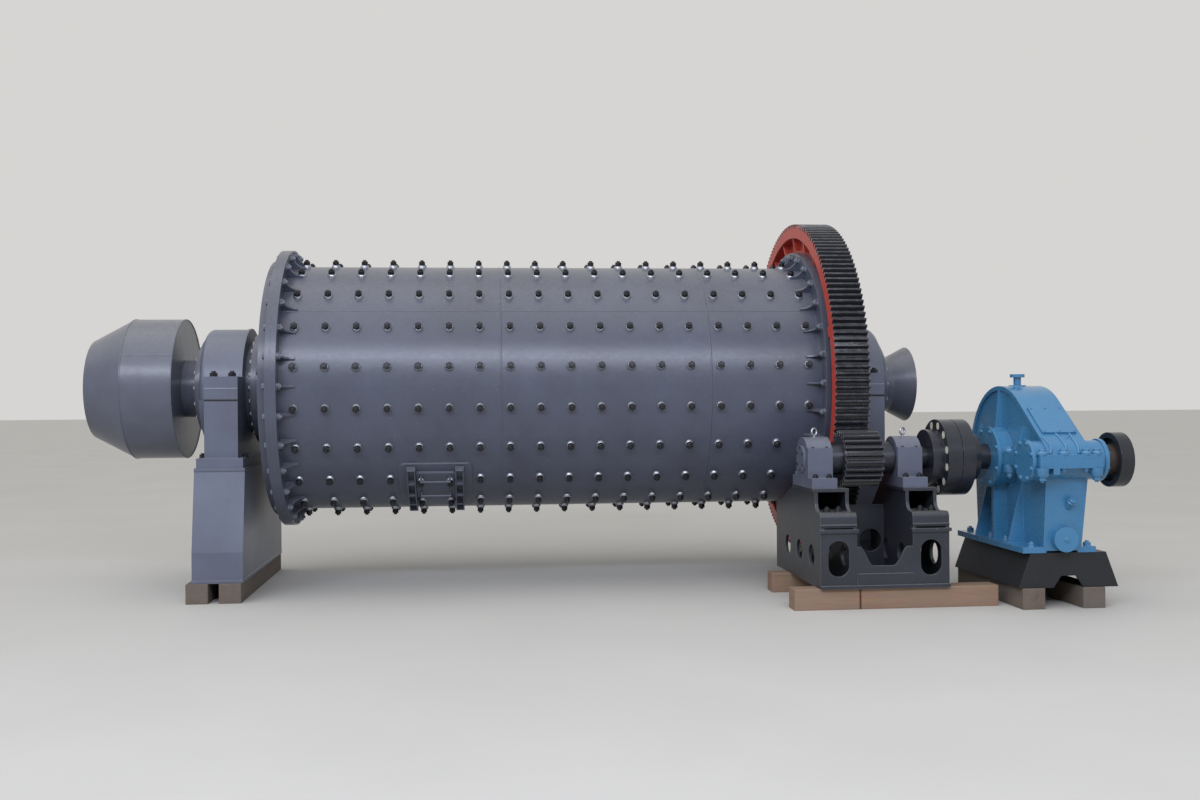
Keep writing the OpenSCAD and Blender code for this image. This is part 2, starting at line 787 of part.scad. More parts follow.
// Rod handle: two legs and the bar between them
module handle(root) {
    reach = handle_h - handle_r;
    for (x = [-handle_l / 2, handle_l / 2]) {
        translate([x, 0, root]) cylinder(h = reach, r = handle_r);
        translate([x, 0, root + reach]) sphere(r = handle_r);
    }
    translate([-handle_l / 2, 0, root + reach]) rotate([0, 90, 0]) cylinder(h = handle_l, r = handle_r);
}

// Two channels with cross webs on the frame plate, one at each end of the door
module manhole_clamps() {
    r_in = frame_r + seat_gap;
    reach = frame_plate_deg - 3;
    step = reach / clamp_pockets;
    web = 1;
    color([0.30, 0.33, 0.38]) machine() for (side = [-1, 1]) {
        x0 = -manhole_x + side * clamp_pitch / 2 - clamp_w / 2;
        difference() {
            clamp_arc(x0, clamp_w, -reach / 2, reach, r_in, r_in + clamp_h);
            for (i = [0 : clamp_pockets - 1])
                clamp_arc(x0 + clamp_wall, clamp_w - 2 * clamp_wall, -reach / 2 + i * step + web / 2,
                          step - web, r_in + clamp_wall, r_in + 2 * clamp_h);
        }
    }
}

// Curved bar along the shell's round, from an angle past the middle of the frame plate
module clamp_arc(x, width, first, angle, r_in, r_out) {
    plate_x(x, width, 0, axis_h) rotate(180 + frame_plate_angle + first)
        ring_sector(angle, r_in, r_out);
}

// Part of a flat ring, from angle 0
module ring_sector(angle, r_in, r_out) {
    difference() {
        intersection() {
            circle(r = r_out);
            polygon([[0, 0], polar(2 * r_out, 0), polar(2 * r_out, angle)]);
        }
        circle(r = r_in);
    }
}

module feed_head() {
    color([0.30, 0.33, 0.38]) machine() feed_side() head();
}

module discharge_head() {
    color([0.30, 0.33, 0.38]) machine() head();
}

// Cast head: bolted flange, raised disc, shallow cone, hub flange and radial ribs
module head() {
    cone_out_r = shell_r - shell_wall - 10;
    rib_r = cone_out_r - 20;
    turned() polygon([
        [trunnion_bore_r, hub_face - head_plate_t - trunnion_flange_t],
        [cone_out_r, head_in],
        [flange_r, head_in],
        [flange_r, head_out],
        [head_disc_r, head_out],
        [head_disc_r, disc_face],
        [cone_out_r, disc_face],
        [hub_r, hub_face - trunnion_flange_t],
        [hub_r, hub_face],
        [trunnion_bore_r, hub_face]
    ]);
    for (i = [0 : head_ribs - 1])
        translate([0, 0, axis_h]) rotate([(i + 0.5) * 360 / head_ribs, 0, 0])
            translate([0, head_rib_t / 2, 0]) rotate([90, 0, 0]) linear_extrude(head_rib_t) polygon([
                [disc_face - 10, rib_r],
                [hub_face - trunnion_flange_t - 30, hub_r - 20],
                [hub_face - 5, hub_r - 20],
                [hub_face - 5, hub_r],
                [disc_face, rib_r]
            ]);
}

module feed_trunnion() {
    color([0.30, 0.33, 0.38]) machine() feed_side() trunnion();
}

module discharge_trunnion() {
    color([0.30, 0.33, 0.38]) machine() trunnion();
}

// Hollow journal with its bolted flange and outer collar
module trunnion() {
    turned() polygon([
        [trunnion_bore_r, hub_face],
        [hub_r, hub_face],
        [hub_r, trunnion_face],
        [journal_r, trunnion_face],
        [journal_r, collar_x],
        [collar_r, collar_x],
        [collar_r, trunnion_end],
        [trunnion_bore_r, trunnion_end]
    ]);
}

// Neck tube through the trunnion, held by a flange on the trunnion's end
module feed_neck() {
    color([0.30, 0.33, 0.38]) machine() feed_side() turned() polygon([
        [neck_r - neck_wall, hub_face],
        [neck_r, hub_face],
        [neck_r, trunnion_end - 20],
        [trunnion_bore_r - 0.3, trunnion_end - 20],
        [trunnion_bore_r - 0.3, trunnion_end],
        [neck_flange_r, trunnion_end],
        [neck_flange_r, neck_face],
        [neck_r, neck_face],
        [neck_r, drum_face],
        [neck_r - neck_wall, drum_face]
    ]);
}

// Rolled feed drum: flat back plate, round shell and a cone down to the feed mouth
module feed_drum() {
    wall = feed_drum_wall;
    cone_x = drum_face + feed_drum_l;
    color([0.36, 0.37, 0.40]) machine() feed_side() turned() polygon([
        [neck_r - neck_wall, drum_face],
        [feed_drum_r, drum_face],
        [feed_drum_r, cone_x],
        [feed_mouth_r, feed_end],
        [feed_mouth_r - wall, feed_end],
        [feed_drum_r - wall, cone_x - 3],
        [feed_drum_r - wall, drum_face + wall],
        [neck_r - neck_wall, drum_face + wall]
    ]);
}

// Discharge neck through the trunnion and its flared mouth
module discharge_cone() {
    flare_x = neck_face + discharge_neck_l;
    mouth_x = flare_x + discharge_cone_l;
    color([0.36, 0.37, 0.40]) machine() turned() polygon([
        [neck_r - neck_wall, hub_face],
        [neck_r, hub_face],
        [neck_r, trunnion_end - 20],
        [trunnion_bore_r - 0.3, trunnion_end - 20],
        [trunnion_bore_r - 0.3, trunnion_end],
        [neck_flange_r, trunnion_end],
        [neck_flange_r, neck_face],
        [neck_r, neck_face],
        [neck_r, flare_x],
        [discharge_mouth_r, mouth_x],
        [discharge_mouth_r - neck_wall, mouth_x],
        [neck_r - neck_wall, flare_x]
    ]);
}

module girth_gear_lower_half() {
    color([0.55, 0.18, 0.14]) machine() gear_half(joint_angle);
}

module girth_gear_upper_half() {
    color([0.55, 0.18, 0.14]) machine() gear_half(joint_angle + 180);
}

// Half of the girth gear: teeth, rim, web, ribs and joint lugs on one side of the joint
module gear_half(first) {
    step = 360 / gear_teeth;
    x0 = gear_x - gear_face / 2;
    root_r = gear_pitch_r - dedendum;
    difference() {
        union() {
            difference() {
                plate_x(x0, gear_face, 0, axis_h) polygon(concat(
                    [for (i = [0 : gear_teeth / 2 - 1])
                        each tooth(gear_teeth, first + (i + 0.5) * step)],
                    [polar(root_r, first + 180), polar(root_r, first)]
                ));
                bar(x0 - 1, head_out - x0 + 1, gear_rim_in);
                bar(head_out + gear_web_t, gear_face, gear_rim_in);
            }
            for (i = [0 : gear_rib_count / 2 - 1])
                gear_rib(first + (i + 0.5) * 360 / gear_rib_count);
            plate_x(x0 + gear_lug_inset, gear_face - 2 * gear_lug_inset, 0, axis_h) rotate(first)
                joint_lugs();
        }
        bar(x0 - 1, gear_face + 2, gear_web_r);
    }
}

// The pair of lugs that bolt one gear half to the other
module joint_lugs() {
    lug_in = flange_r + gear_clear;
    for (r = [lug_in, -gear_rim_in - 2])
        translate([r, seat_gap / 2]) square([gear_rim_in + 2 - lug_in, gear_lug_t]);
}

// Ribs between web and rim, one on each side of the web, at a polar angle
module gear_rib(angle) {
    x0 = gear_x - gear_face / 2;
    x1 = x0 + gear_face;
    web_out = head_out + gear_web_t;
    rib_in = flange_r + gear_clear;
    translate([0, 0, axis_h]) rotate([angle - 90, 0, 0]) translate([0, gear_rib_t / 2, 0])
        rotate([90, 0, 0]) linear_extrude(gear_rib_t) {
            polygon([
                [x0 + 2 * gear_lug_inset, rib_in],
                [head_out + 1, rib_in],
                [head_out + 1, gear_rim_in + 2],
                [x0 + gear_lug_inset, gear_rim_in + 2]
            ]);
            polygon([
                [web_out - 1, rib_in - 80],
                [x1 - 2 * gear_lug_inset, rib_in],
                [x1 - gear_lug_inset, gear_rim_in + 2],
                [web_out - 1, gear_rim_in + 2]
            ]);
        }
}

module pinion() {
    color([0.10, 0.10, 0.11]) machine() difference() {
        plate_x(pinion_x - pinion_face / 2, pinion_face, pinion_y, pinion_z) polygon([
            for (i = [0 : pinion_teeth - 1])
                each tooth(pinion_teeth, mesh_angle + 180 + (i + 0.5) * 360 / pinion_teeth)
        ]);
        bar(pinion_x - pinion_face, 2 * pinion_face, pinion_shaft_r, pinion_y, pinion_z);
    }
}

// Stepped shaft: ends in the left bearing's closed housing, carries collars and the coupling
module pinion_shaft() {
    start = left_bearing_x - pinion_bearing_w / 2 + bearing_end_t + 1;
    left_in = left_bearing_x + pinion_bearing_w / 2 + collar_gap;
    right_in = right_bearing_x - pinion_bearing_w / 2 - collar_gap;
    pinion_left = pinion_x - pinion_face / 2;
    pinion_right = pinion_x + pinion_face / 2;
    color("dimgray") machine() {
        turned(pinion_y, pinion_z) polygon([
            [0, start],
            [pinion_shaft_r, start],
            [pinion_shaft_r, left_in],
            [pinion_collar_r, left_in],
            [pinion_collar_r, pinion_left],
            [pinion_shaft_r, pinion_left],
            [pinion_shaft_r, pinion_right],
            [pinion_collar_r, pinion_right],
            [pinion_collar_r, right_in],
            [pinion_shaft_r, right_in],
            [pinion_shaft_r, driven_disc_x + driven_disc_t],
            [0, driven_disc_x + driven_disc_t]
        ]);
    }
}

// Left half of the pin coupling, keyed to the pinion shaft
module coupling_driven_half() {
    color([0.10, 0.10, 0.11]) machine() difference() {
        turned(pinion_y, pinion_z) polygon([
            [pinion_shaft_r, driven_x],
            [driven_hub_r, driven_x],
            [driven_hub_r, driven_disc_x],
            [coupling_r, driven_disc_x],
            [coupling_r, driven_disc_x + driven_disc_t],
            [pinion_shaft_r, driven_disc_x + driven_disc_t]
        ]);
        pin_circle(driven_disc_x - 1, driven_disc_t + 2);
    }
}

// Round bars on the coupling's pin circle
module pin_circle(x, length) {
    for (i = [0 : coupling_pin_count - 1])
        bar(x, length, coupling_pin_r,
            pinion_y + coupling_pin_circle * cos((i + 0.5) * 360 / coupling_pin_count),
            pinion_z + coupling_pin_circle * sin((i + 0.5) * 360 / coupling_pin_count));
}

// Nylon pins that carry the load from one half to the other
module coupling_pins() {
    color("antiquewhite") machine()
        pin_circle(driven_disc_x, driven_disc_t + halves_gap + driving_disc_t);
}

// Right half of the pin coupling, on the gearbox's output shaft
module coupling_driving_half() {
    color([0.10, 0.10, 0.11]) machine() difference() {
        turned(pinion_y, pinion_z) polygon([
            [output_shaft_r, driving_x],
            [coupling_r, driving_x],
            [coupling_r, hub_x],
            [driving_hub_r, hub_x],
            [driving_hub_r, hub_x + driving_hub_l],
            [output_shaft_r, hub_x + driving_hub_l]
        ]);
        pin_circle(driving_x - 1, driving_disc_t + 2);
    }
}

module gearbox_output_shaft() {
    color("dimgray") machine()
        bar(driving_x, boss_left + shaft_seat - driving_x, output_shaft_r, pinion_y, pinion_z);
}

module gearbox_input_shaft() {
    start = boss_right - shaft_seat;
    color("dimgray") machine()
        bar(start, drive_end - start, input_shaft_r, input_y, pinion_z);
}

// Half coupling that waits for the motor's half
module motor_half_coupling() {
    face = drive_end - half_coupling_t;
    rim = half_coupling_rim_t;
    color([0.10, 0.10, 0.11]) machine() turned(input_y, pinion_z) polygon([
        [input_shaft_r, boss_right + 6],
        [half_coupling_hub_r, boss_right + 6],
        [half_coupling_hub_r, face + rim],
        [half_coupling_r - rim, face + rim],
        [half_coupling_r - rim, face],
        [half_coupling_r, face],
        [half_coupling_r, drive_end],
        [input_shaft_r, drive_end]
    ]);
}

// Packing timbers: a long one in front, short ones behind, clear of the pedestal's timbers
module pinion_timbers() {
    front = pinion_y - base_front + 10;
    right_back = -pedestal_timber_l / 2 - timber_gap;
    left_back = right_back + timber_stagger;
    color("rosybrown") machine() {
        block([left_bearing_x - pinion_bearing_w / 2 - front_timber_left, front, 0],
              [right_frame_x + right_frame_w + front_timber_right, front + timber_w, timber_h]);
        block([left_frame_x - back_timber_left, left_back - timber_w, 0],
              [left_frame_x + left_frame_w + 10, left_back, timber_h]);
        block([right_frame_x - 40, right_back - timber_w, 0],
              [right_frame_x + right_frame_w + 60, right_back, timber_h]);
    }
}

// Outline of a side frame in the Y-Z plane, drawn in by a margin
function side_outline(back, m) =
    let (
        yb = pinion_y + back,
        ys = pinion_y - seat_front
    )
    concat(
        [[pinion_y - base_front + m, timber_h + m], [yb - m, timber_h + m],
         [yb - m, timber_h + frame_back_h - m], [pinion_y + seat_front, seat_z - m],
         [ys + m, seat_z - m]],
        [for (a = [0 : -15 : -90]) [ys - step_r + (step_r + m) * cos(a),
                                    shelf_z + step_r + (step_r + m) * sin(a)]],
        shelf_edge(m)
    );

// Rounded front edge of the shelf
function shelf_edge(m) =
    let (r = shelf_round - m)
    [for (a = [90 : 15 : 180]) [pinion_y - base_front + shelf_round + r * cos(a),
                                shelf_z - shelf_round + r * sin(a)]];

// Lower box of a side frame, up to the front shelf
function low_outline(back, m) = concat(
    [[pinion_y - base_front + m, timber_h + m], [pinion_y + back - m, timber_h + m],
     [pinion_y + back - m, shelf_z - 40 - m]],
    shelf_edge(m)
);

// Hollow welded side frame under one bearing, open in front between seat and shelf
module side_frame(x, width, top_width, back) {
    t = base_plate_t;
    yf = pinion_y - base_front;
    ys = pinion_y - seat_front;
    hole_z = timber_h + hole_height;
    rib_z = ledge_z + ledge_slot_h + rib_bar_r + 6;
    difference() {
        union() {
            plate_x(x, top_width) polygon(side_outline(back, 0));
            plate_x(x, width) polygon(low_outline(back, 0));
            block([x, yf - ledge_out, timber_h], [x + width, yf + 60, timber_h + t]);
            block([x - ledge_out / 2, yf - ledge_out, ledge_z - t],
                  [x + width + ledge_out / 2, yf + t, ledge_z]);
            bar(x, width, rib_bar_r, yf, rib_z);
        }
        plate_x(x + t, top_width - 2 * t) polygon(side_outline(back, t));
        plate_x(x + t, width - 2 * t) polygon(low_outline(back, t));
        block([x + t, ys - step_r - t, shelf_z], [x + top_width - t, ys + 2 * t, seat_z - t]);
        block([x + t, yf - 1, ledge_z], [x + width - t, yf + t + 1, ledge_z + ledge_slot_h]);
        for (y = [yf + side_hole_start : side_hole_pitch : pinion_y + back - 2 * side_hole_r - t])
            bar(x - 1, width + 2, side_hole_r, y, hole_z);
        translate([x + width / 2, 0, hole_z]) plate_y(yf - 30, base_front + back + 60) oval();
    }
    block([x + t - 1, ys - step_r, shelf_z - t], [x + top_width - t + 1, ys + shelf_in, shelf_z]);
    block([x - base_shift, ys - 6, seat_z - t], [x + top_width, pinion_y + seat_front, seat_z]);
}

// Upright oval
module oval() {
    for (end = [-1, 1])
        translate([0, end * oval_h / 2]) circle(r = oval_r);
    square([2 * oval_r, oval_h], center = true);
}

// Welded base: two side frames, a notched beam in front and cross plates between
module pinion_base() {
    t = base_plate_t;
    xa = left_frame_x + left_frame_w;
    xb = right_frame_x;
    span = xb - xa;
    yf = pinion_y - base_front;
    beam_top = timber_h + beam_h;
    notch = beam_top - beam_notch;
    color([0.20, 0.22, 0.25]) machine() {
        side_frame(left_frame_x, left_frame_w, left_frame_w - 15, base_left_back);
        side_frame(right_frame_x, right_frame_w, right_frame_w - 40, base_right_back);
        plate_y(yf, t) polygon(concat(
            [[xa, timber_h], [xb, timber_h], [xb, beam_top]],
            s_curve([xb - 0.08 * span, beam_top], [xb - 0.34 * span, notch]),
            s_curve([xa + 0.30 * span, notch], [xa + 0.05 * span, beam_top]),
            [[xa, beam_top]]
        ));
        block([xa, yf - t / 2, timber_h], [xb, yf + 1, timber_h + beam_strip_h]);
        block([xa, yf - ledge_out, timber_h], [xb, yf + 6 * t, timber_h + t]);
        difference() {
            block([xa, pinion_y + 230, timber_h], [xb, pinion_y + 230 + t, shelf_z]);
            for (side = [-1, 1])
                translate([(xa + xb) / 2 + side * span / 4, 0, timber_h + hole_height + 60])
                    plate_y(pinion_y + 200, 100) circle(r = cross_hole_r);
        }
        block([xa, pinion_y + base_right_back - t, timber_h],
              [xb, pinion_y + base_right_back, timber_h + back_tie_h]);
    }
}

// Smooth step from one point to another
function s_curve(from, to, steps = 12) =
    [for (i = [0 : steps]) [from[0] + (to[0] - from[0]) * i / steps,
                            from[1] + (to[1] - from[1]) * (1 - cos(180 * i / steps)) / 2]];

module left_pinion_bearing_base() {
    color("slategray") machine() pinion_bearing_base(left_bearing_x, bearing_end_t);
}

module right_pinion_bearing_base() {
    color("slategray") machine() pinion_bearing_base(right_bearing_x, 0);
}

module left_pinion_bearing_cap() {
    color("slategray") machine() pinion_bearing_cap(left_bearing_x, bearing_end_t);
}

module right_pinion_bearing_cap() {
    color("slategray") machine() pinion_bearing_cap(right_bearing_x, 0);
}

// Bore for the pinion shaft, closed at its left end by a plate of that thickness
module shaft_bore(x, closed) {
    left = x - pinion_bearing_w / 2;
    bar(closed > 0 ? left + closed : left - 1, pinion_bearing_w + 2,
        pinion_shaft_r + journal_gap, pinion_y, pinion_z);
}

// Lower half of a pinion bearing with its foot
module pinion_bearing_base(x, closed) {
    left = x - pinion_bearing_w / 2;
    right = x + pinion_bearing_w / 2;
    difference() {
        union() {
            block([left, pinion_y - pinion_foot_l / 2, seat_z],
                  [right, pinion_y + pinion_foot_l / 2, seat_z + pinion_foot_h]);
            block([left, pinion_y - pinion_bearing_r, seat_z],
                  [right, pinion_y + pinion_bearing_r, pinion_z]);
        }
        shaft_bore(x, closed);
    }
}

// Half-round cap between two square lugs, with its lifting eye
module pinion_bearing_cap(x, closed) {
    left = x - pinion_bearing_w / 2;
    right = x + pinion_bearing_w / 2;
    low = pinion_z + seat_gap;
    top = pinion_z + pinion_bearing_r;
    difference() {
        union() {
            intersection() {
                bar(left, pinion_bearing_w, pinion_bearing_r, pinion_y, pinion_z);
                block([left, pinion_y - pinion_bearing_r, low],
                      [right, pinion_y + pinion_bearing_r, top]);
            }
            block([left, pinion_y - pinion_bearing_r, low],
                  [right, pinion_y + pinion_bearing_r, pinion_z + pinion_lug_h]);
        }
        shaft_bore(x, closed);
    }
    translate([x, pinion_y, top - 4]) cylinder(h = 4 + eye_shank_h, r = eye_bar_r + 3);
    translate([x, pinion_y, top + eye_shank_h + eye_r]) rotate([90, 0, 30]) rotate_extrude()
        translate([eye_r, 0]) circle(r = eye_bar_r);
}

// Two timbers along the stand
module gearbox_timbers() {
    color("rosybrown") machine() for (side = [-1, 1]) {
        x = stand_x - stand_timber_shift + side * stand_timber_pitch / 2;
        block([x - timber_w / 2, pinion_y - foot_front - 5, 0],
              [x + timber_w / 2, pinion_y + foot_back - 10, timber_h]);
    }
}

// Welded stand with sloping sides, open underneath, notched at both ends
module gearbox_stand() {
    low = timber_h;
    top = case_bottom;
    t = stand_plate_t;
    y0 = pinion_y - foot_front + 10;
    length = foot_front + foot_back - 20;
    color([0.12, 0.12, 0.13]) machine() difference() {
        plate_y(y0, length) trapezoid(stand_foot_w, stand_top_w, low, top);
        plate_y(y0 + t, length - 2 * t)
            trapezoid(stand_foot_w - 2 * t, stand_top_w - 2 * t, low - 1, top - t);
        plate_y(y0 - 1, length + 2)
            trapezoid(stand_notch_w, stand_notch_w / 2, low - 1, low + stand_notch_h);
    }
}

// Trapezoid in the X-Z plane, centred on the stand
module trapezoid(foot_w, top_w, low, high) {
    polygon([
        [stand_x - foot_w / 2, low],
        [stand_x + foot_w / 2, low],
        [stand_x + top_w / 2, high],
        [stand_x - top_w / 2, high]
    ]);
}

// Space below or above the gearbox's parting face
module parting_side(up) {
    reach = 2 * case_depth;
    low = up ? pinion_z + seat_gap : pinion_z - reach;
    block([gearbox_x - reach, pinion_y - reach, low],
          [gearbox_x + reach, pinion_y + reach, low + reach]);
}

// The parts of the casing that both halves share: bosses and parting flange
module case_common() {
    bar(boss_left + cover_t, boss_length - 2 * cover_t, output_boss_r, pinion_y, pinion_z);
    bar(boss_left + cover_t, boss_length - 2 * cover_t, input_boss_r, input_y, pinion_z);
    block([upper_case_x - case_w / 2 - parting_lip, front_end, pinion_z - parting_t],
          [lower_case_x + case_w / 2 + parting_lip / 2, pinion_y + case_top_r + parting_lip / 2,
           pinion_z + parting_t]);
}

// Bores for the output shaft, from the left, and the input shaft, from the right
module case_bores() {
    bar(boss_left - 1, shaft_seat + 2, output_shaft_r + journal_gap, pinion_y, pinion_z);
    bar(boss_right - shaft_seat - 1, shaft_seat + 2, input_shaft_r + journal_gap, input_y, pinion_z);
}

// Lower casing: trough with leaning walls, foot, rib under the shaft, gussets, bolt bosses
module gearbox_lower_case() {
    low_w = case_w / 2 - case_taper;
    gusset_w = case_foot_w / 2 - case_gusset_inset;
    boss_low = pinion_z - parting_t - bolt_boss_h;
    color([0.25, 0.55, 0.78]) machine() difference() {
        union() {
            intersection() {
                plate_x(lower_case_x - case_w / 2, case_w) polygon([
                    [case_front + case_front_lean, case_bottom],
                    [pinion_y + foot_back - 60, case_bottom],
                    [pinion_y + case_top_r, pinion_z],
                    [case_front, pinion_z]
                ]);
                plate_y(case_front, 2 * case_depth) polygon([
                    [lower_case_x - low_w, case_bottom],
                    [lower_case_x + low_w, case_bottom],
                    [lower_case_x + case_w / 2, pinion_z],
                    [lower_case_x - case_w / 2, pinion_z]
                ]);
            }
            block([gearbox_x - case_foot_w / 2, pinion_y - foot_front, case_bottom],
                  [gearbox_x + case_foot_w / 2, pinion_y + foot_back, case_bottom + case_foot_t]);
            intersection() {
                case_common();
                parting_side(false);
            }
            block([boss_left + 2 * cover_t, pinion_y - case_rib_t, case_bottom],
                  [boss_right - 2 * cover_t, pinion_y + case_rib_t, pinion_z - parting_t]);
            for (y = [pinion_y - case_gusset_reach, pinion_y + case_gusset_reach])
                plate_y(y - case_rib_t / 2, case_rib_t) polygon([
                    [gearbox_x - gusset_w, case_bottom],
                    [gearbox_x + gusset_w, case_bottom],
                    [lower_case_x + low_w, case_bottom + case_gusset_h],
                    [lower_case_x - low_w, case_bottom + case_gusset_h]
                ]);
            for (side = [-1, 1])
                block([lower_case_x + (side * bolt_boss_pitch - bolt_boss_w) / 2, front_end, boss_low],
                      [lower_case_x + (side * bolt_boss_pitch + bolt_boss_w) / 2, case_front + 1,
                       pinion_z - parting_t + 1]);
        }
        case_bores();
        block([lower_case_x - foot_relief_w / 2, pinion_y - case_depth, case_bottom - 1],
              [lower_case_x + foot_relief_w / 2, pinion_y + case_depth, case_bottom + foot_relief_h]);
    }
}

// Upper casing: round over the output gear, sloping to the input shaft, walls set back in a band
module gearbox_upper_case() {
    left = upper_case_x - case_w / 2;
    color([0.25, 0.55, 0.78]) machine() difference() {
        intersection() {
            union() {
                difference() {
                    plate_x(left, case_w, pinion_y, pinion_z) case_outline(0);
                    plate_x(left - 1, wall_recess + 1, pinion_y, pinion_z) case_outline(band_w);
                    plate_x(left + case_w - wall_recess, wall_recess + 1, pinion_y, pinion_z)
                        case_outline(band_w);
                }
                case_common();
                translate([breather_x, pinion_y, pinion_z])
                    cylinder(h = breather_z - pinion_z, r = breather_r + 10);
                case_rib(pinion_y, case_top_r - 20);
                case_rib(pinion_y + back_rib_reach, short_rib_h);
                case_rib(input_y + nose_rib_reach, short_rib_h);
            }
            parting_side(true);
        }
        case_bores();
    }
}

// Rib across the upper casing that narrows towards its top
module case_rib(y, rise) {
    foot = case_w / 2 + case_rib_out;
    top = case_w / 2;
    plate_y(y - case_rib_t / 2, case_rib_t) polygon([
        [upper_case_x - foot, pinion_z],
        [upper_case_x + foot, pinion_z],
        [upper_case_x + top, pinion_z + rise],
        [upper_case_x - top, pinion_z + rise]
    ]);
}

// Side view of the upper casing round the output shaft, drawn in by a margin
module case_outline(inset) {
    big = case_top_r - inset;
    nose = case_nose_r - inset;
    big_edge = big - seat_gap;
    nose_edge = nose - seat_gap;
    circle(r = big);
    translate([-shaft_centres, 0]) circle(r = nose);
    polygon([
        [0, 0],
        [-big_edge * case_lean, big_edge * case_rise],
        [-shaft_centres - nose_edge * case_lean, nose_edge * case_rise],
        [-shaft_centres, 0]
    ]);
}

// Bolted bearing covers: a ring round each shaft and a closed cover at its other end
module gearbox_bearing_covers() {
    color([0.25, 0.55, 0.78]) machine() {
        cover(boss_left, output_boss_r + 10, pinion_y, output_shaft_r + journal_gap);
        cover(boss_right - cover_t, output_boss_r + 10, pinion_y, 0);
        cover(boss_left, input_boss_r + 10, input_y, 0);
        cover(boss_right - cover_t, input_boss_r + 10, input_y, input_shaft_r + journal_gap);
    }
}

module cover(x, r, y, bore_r) {
    difference() {
        bar(x, cover_t, r, y, pinion_z);
        if (bore_r > 0) bar(x - 1, cover_t + 2, bore_r, y, pinion_z);
    }
}

// Flat cover bolted on the slope of the upper casing
module gearbox_inspection_cover() {
    middle_r = (case_top_r + case_nose_r) / 2 + seat_gap;
    color([0.25, 0.55, 0.78]) machine()
        translate([upper_case_x, (pinion_y + input_y) / 2, pinion_z]) rotate([asin(case_lean), 0, 0])
            translate([-inspection_cover_w / 2, -inspection_cover_l / 2, middle_r])
                cube([inspection_cover_w, inspection_cover_l, inspection_cover_t]);
}

// Mushroom breather on its boss on top of the casing
module gearbox_breather() {
    color([0.25, 0.55, 0.78]) machine() translate([breather_x, pinion_y, breather_z]) {
        cylinder(h = breather_h, r = breather_stem_r);
        translate([0, 0, breather_h - breather_cap_h]) cylinder(h = breather_cap_h, r = breather_r);
    }
}

// Round cover low on the front of the lower casing
module gearbox_oil_cover() {
    z = case_bottom + oil_cover_low + oil_cover_r;
    lean = case_front_lean * (pinion_z - z) / case_depth;
    color([0.25, 0.55, 0.78]) machine() difference() {
        translate([lower_case_x, case_front + lean + oil_cover_t / 2, z])
            rotate([90, 0, 0]) cylinder(h = 1.5 * oil_cover_t, r = oil_cover_r);
        plate_x(lower_case_x - case_w / 2, case_w) polygon([
            [case_front + case_front_lean - seat_gap, case_bottom],
            [pinion_y, case_bottom],
            [pinion_y, pinion_z],
            [case_front - seat_gap, pinion_z]
        ]);
    }
}

feed_timbers();
feed_pedestal();
feed_bearing_base();
feed_bearing_cap();
discharge_timbers();
discharge_pedestal();
discharge_bearing_base();
discharge_bearing_cap();
pinion_timbers();
pinion_base();
left_pinion_bearing_base();
left_pinion_bearing_cap();
right_pinion_bearing_base();
right_pinion_bearing_cap();
gearbox_timbers();
gearbox_stand();
gearbox_lower_case();
gearbox_upper_case();
gearbox_bearing_covers();
gearbox_inspection_cover();
gearbox_breather();
gearbox_oil_cover();
shell();
feed_head();
feed_trunnion();
feed_neck();
feed_drum();
discharge_head();
discharge_trunnion();
discharge_cone();
girth_gear_lower_half();
girth_gear_upper_half();
manhole_cover();
manhole_clamps();
pinion();
pinion_shaft();
coupling_driven_half();
coupling_pins();
coupling_driving_half();
gearbox_output_shaft();
gearbox_input_shaft();
motor_half_coupling();
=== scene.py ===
import bpy
import numpy as np
from mathutils import Matrix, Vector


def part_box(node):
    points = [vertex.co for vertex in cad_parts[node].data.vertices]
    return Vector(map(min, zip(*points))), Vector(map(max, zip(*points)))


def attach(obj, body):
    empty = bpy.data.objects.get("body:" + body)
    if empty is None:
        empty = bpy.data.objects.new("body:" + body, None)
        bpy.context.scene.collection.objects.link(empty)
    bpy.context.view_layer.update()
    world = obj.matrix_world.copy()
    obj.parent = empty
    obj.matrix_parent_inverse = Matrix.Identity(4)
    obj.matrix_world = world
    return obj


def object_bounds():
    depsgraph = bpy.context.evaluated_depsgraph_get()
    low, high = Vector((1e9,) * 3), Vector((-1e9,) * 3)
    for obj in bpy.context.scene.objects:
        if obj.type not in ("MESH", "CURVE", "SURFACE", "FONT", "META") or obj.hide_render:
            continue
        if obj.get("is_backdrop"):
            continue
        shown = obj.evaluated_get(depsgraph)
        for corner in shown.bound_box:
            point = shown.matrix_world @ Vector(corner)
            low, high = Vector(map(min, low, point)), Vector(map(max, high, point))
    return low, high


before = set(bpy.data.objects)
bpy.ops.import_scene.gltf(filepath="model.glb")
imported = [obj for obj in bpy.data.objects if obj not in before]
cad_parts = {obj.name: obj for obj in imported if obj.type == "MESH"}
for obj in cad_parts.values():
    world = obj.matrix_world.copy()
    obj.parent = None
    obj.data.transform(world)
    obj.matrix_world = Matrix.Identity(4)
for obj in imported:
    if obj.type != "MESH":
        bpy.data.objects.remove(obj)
low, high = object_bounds()

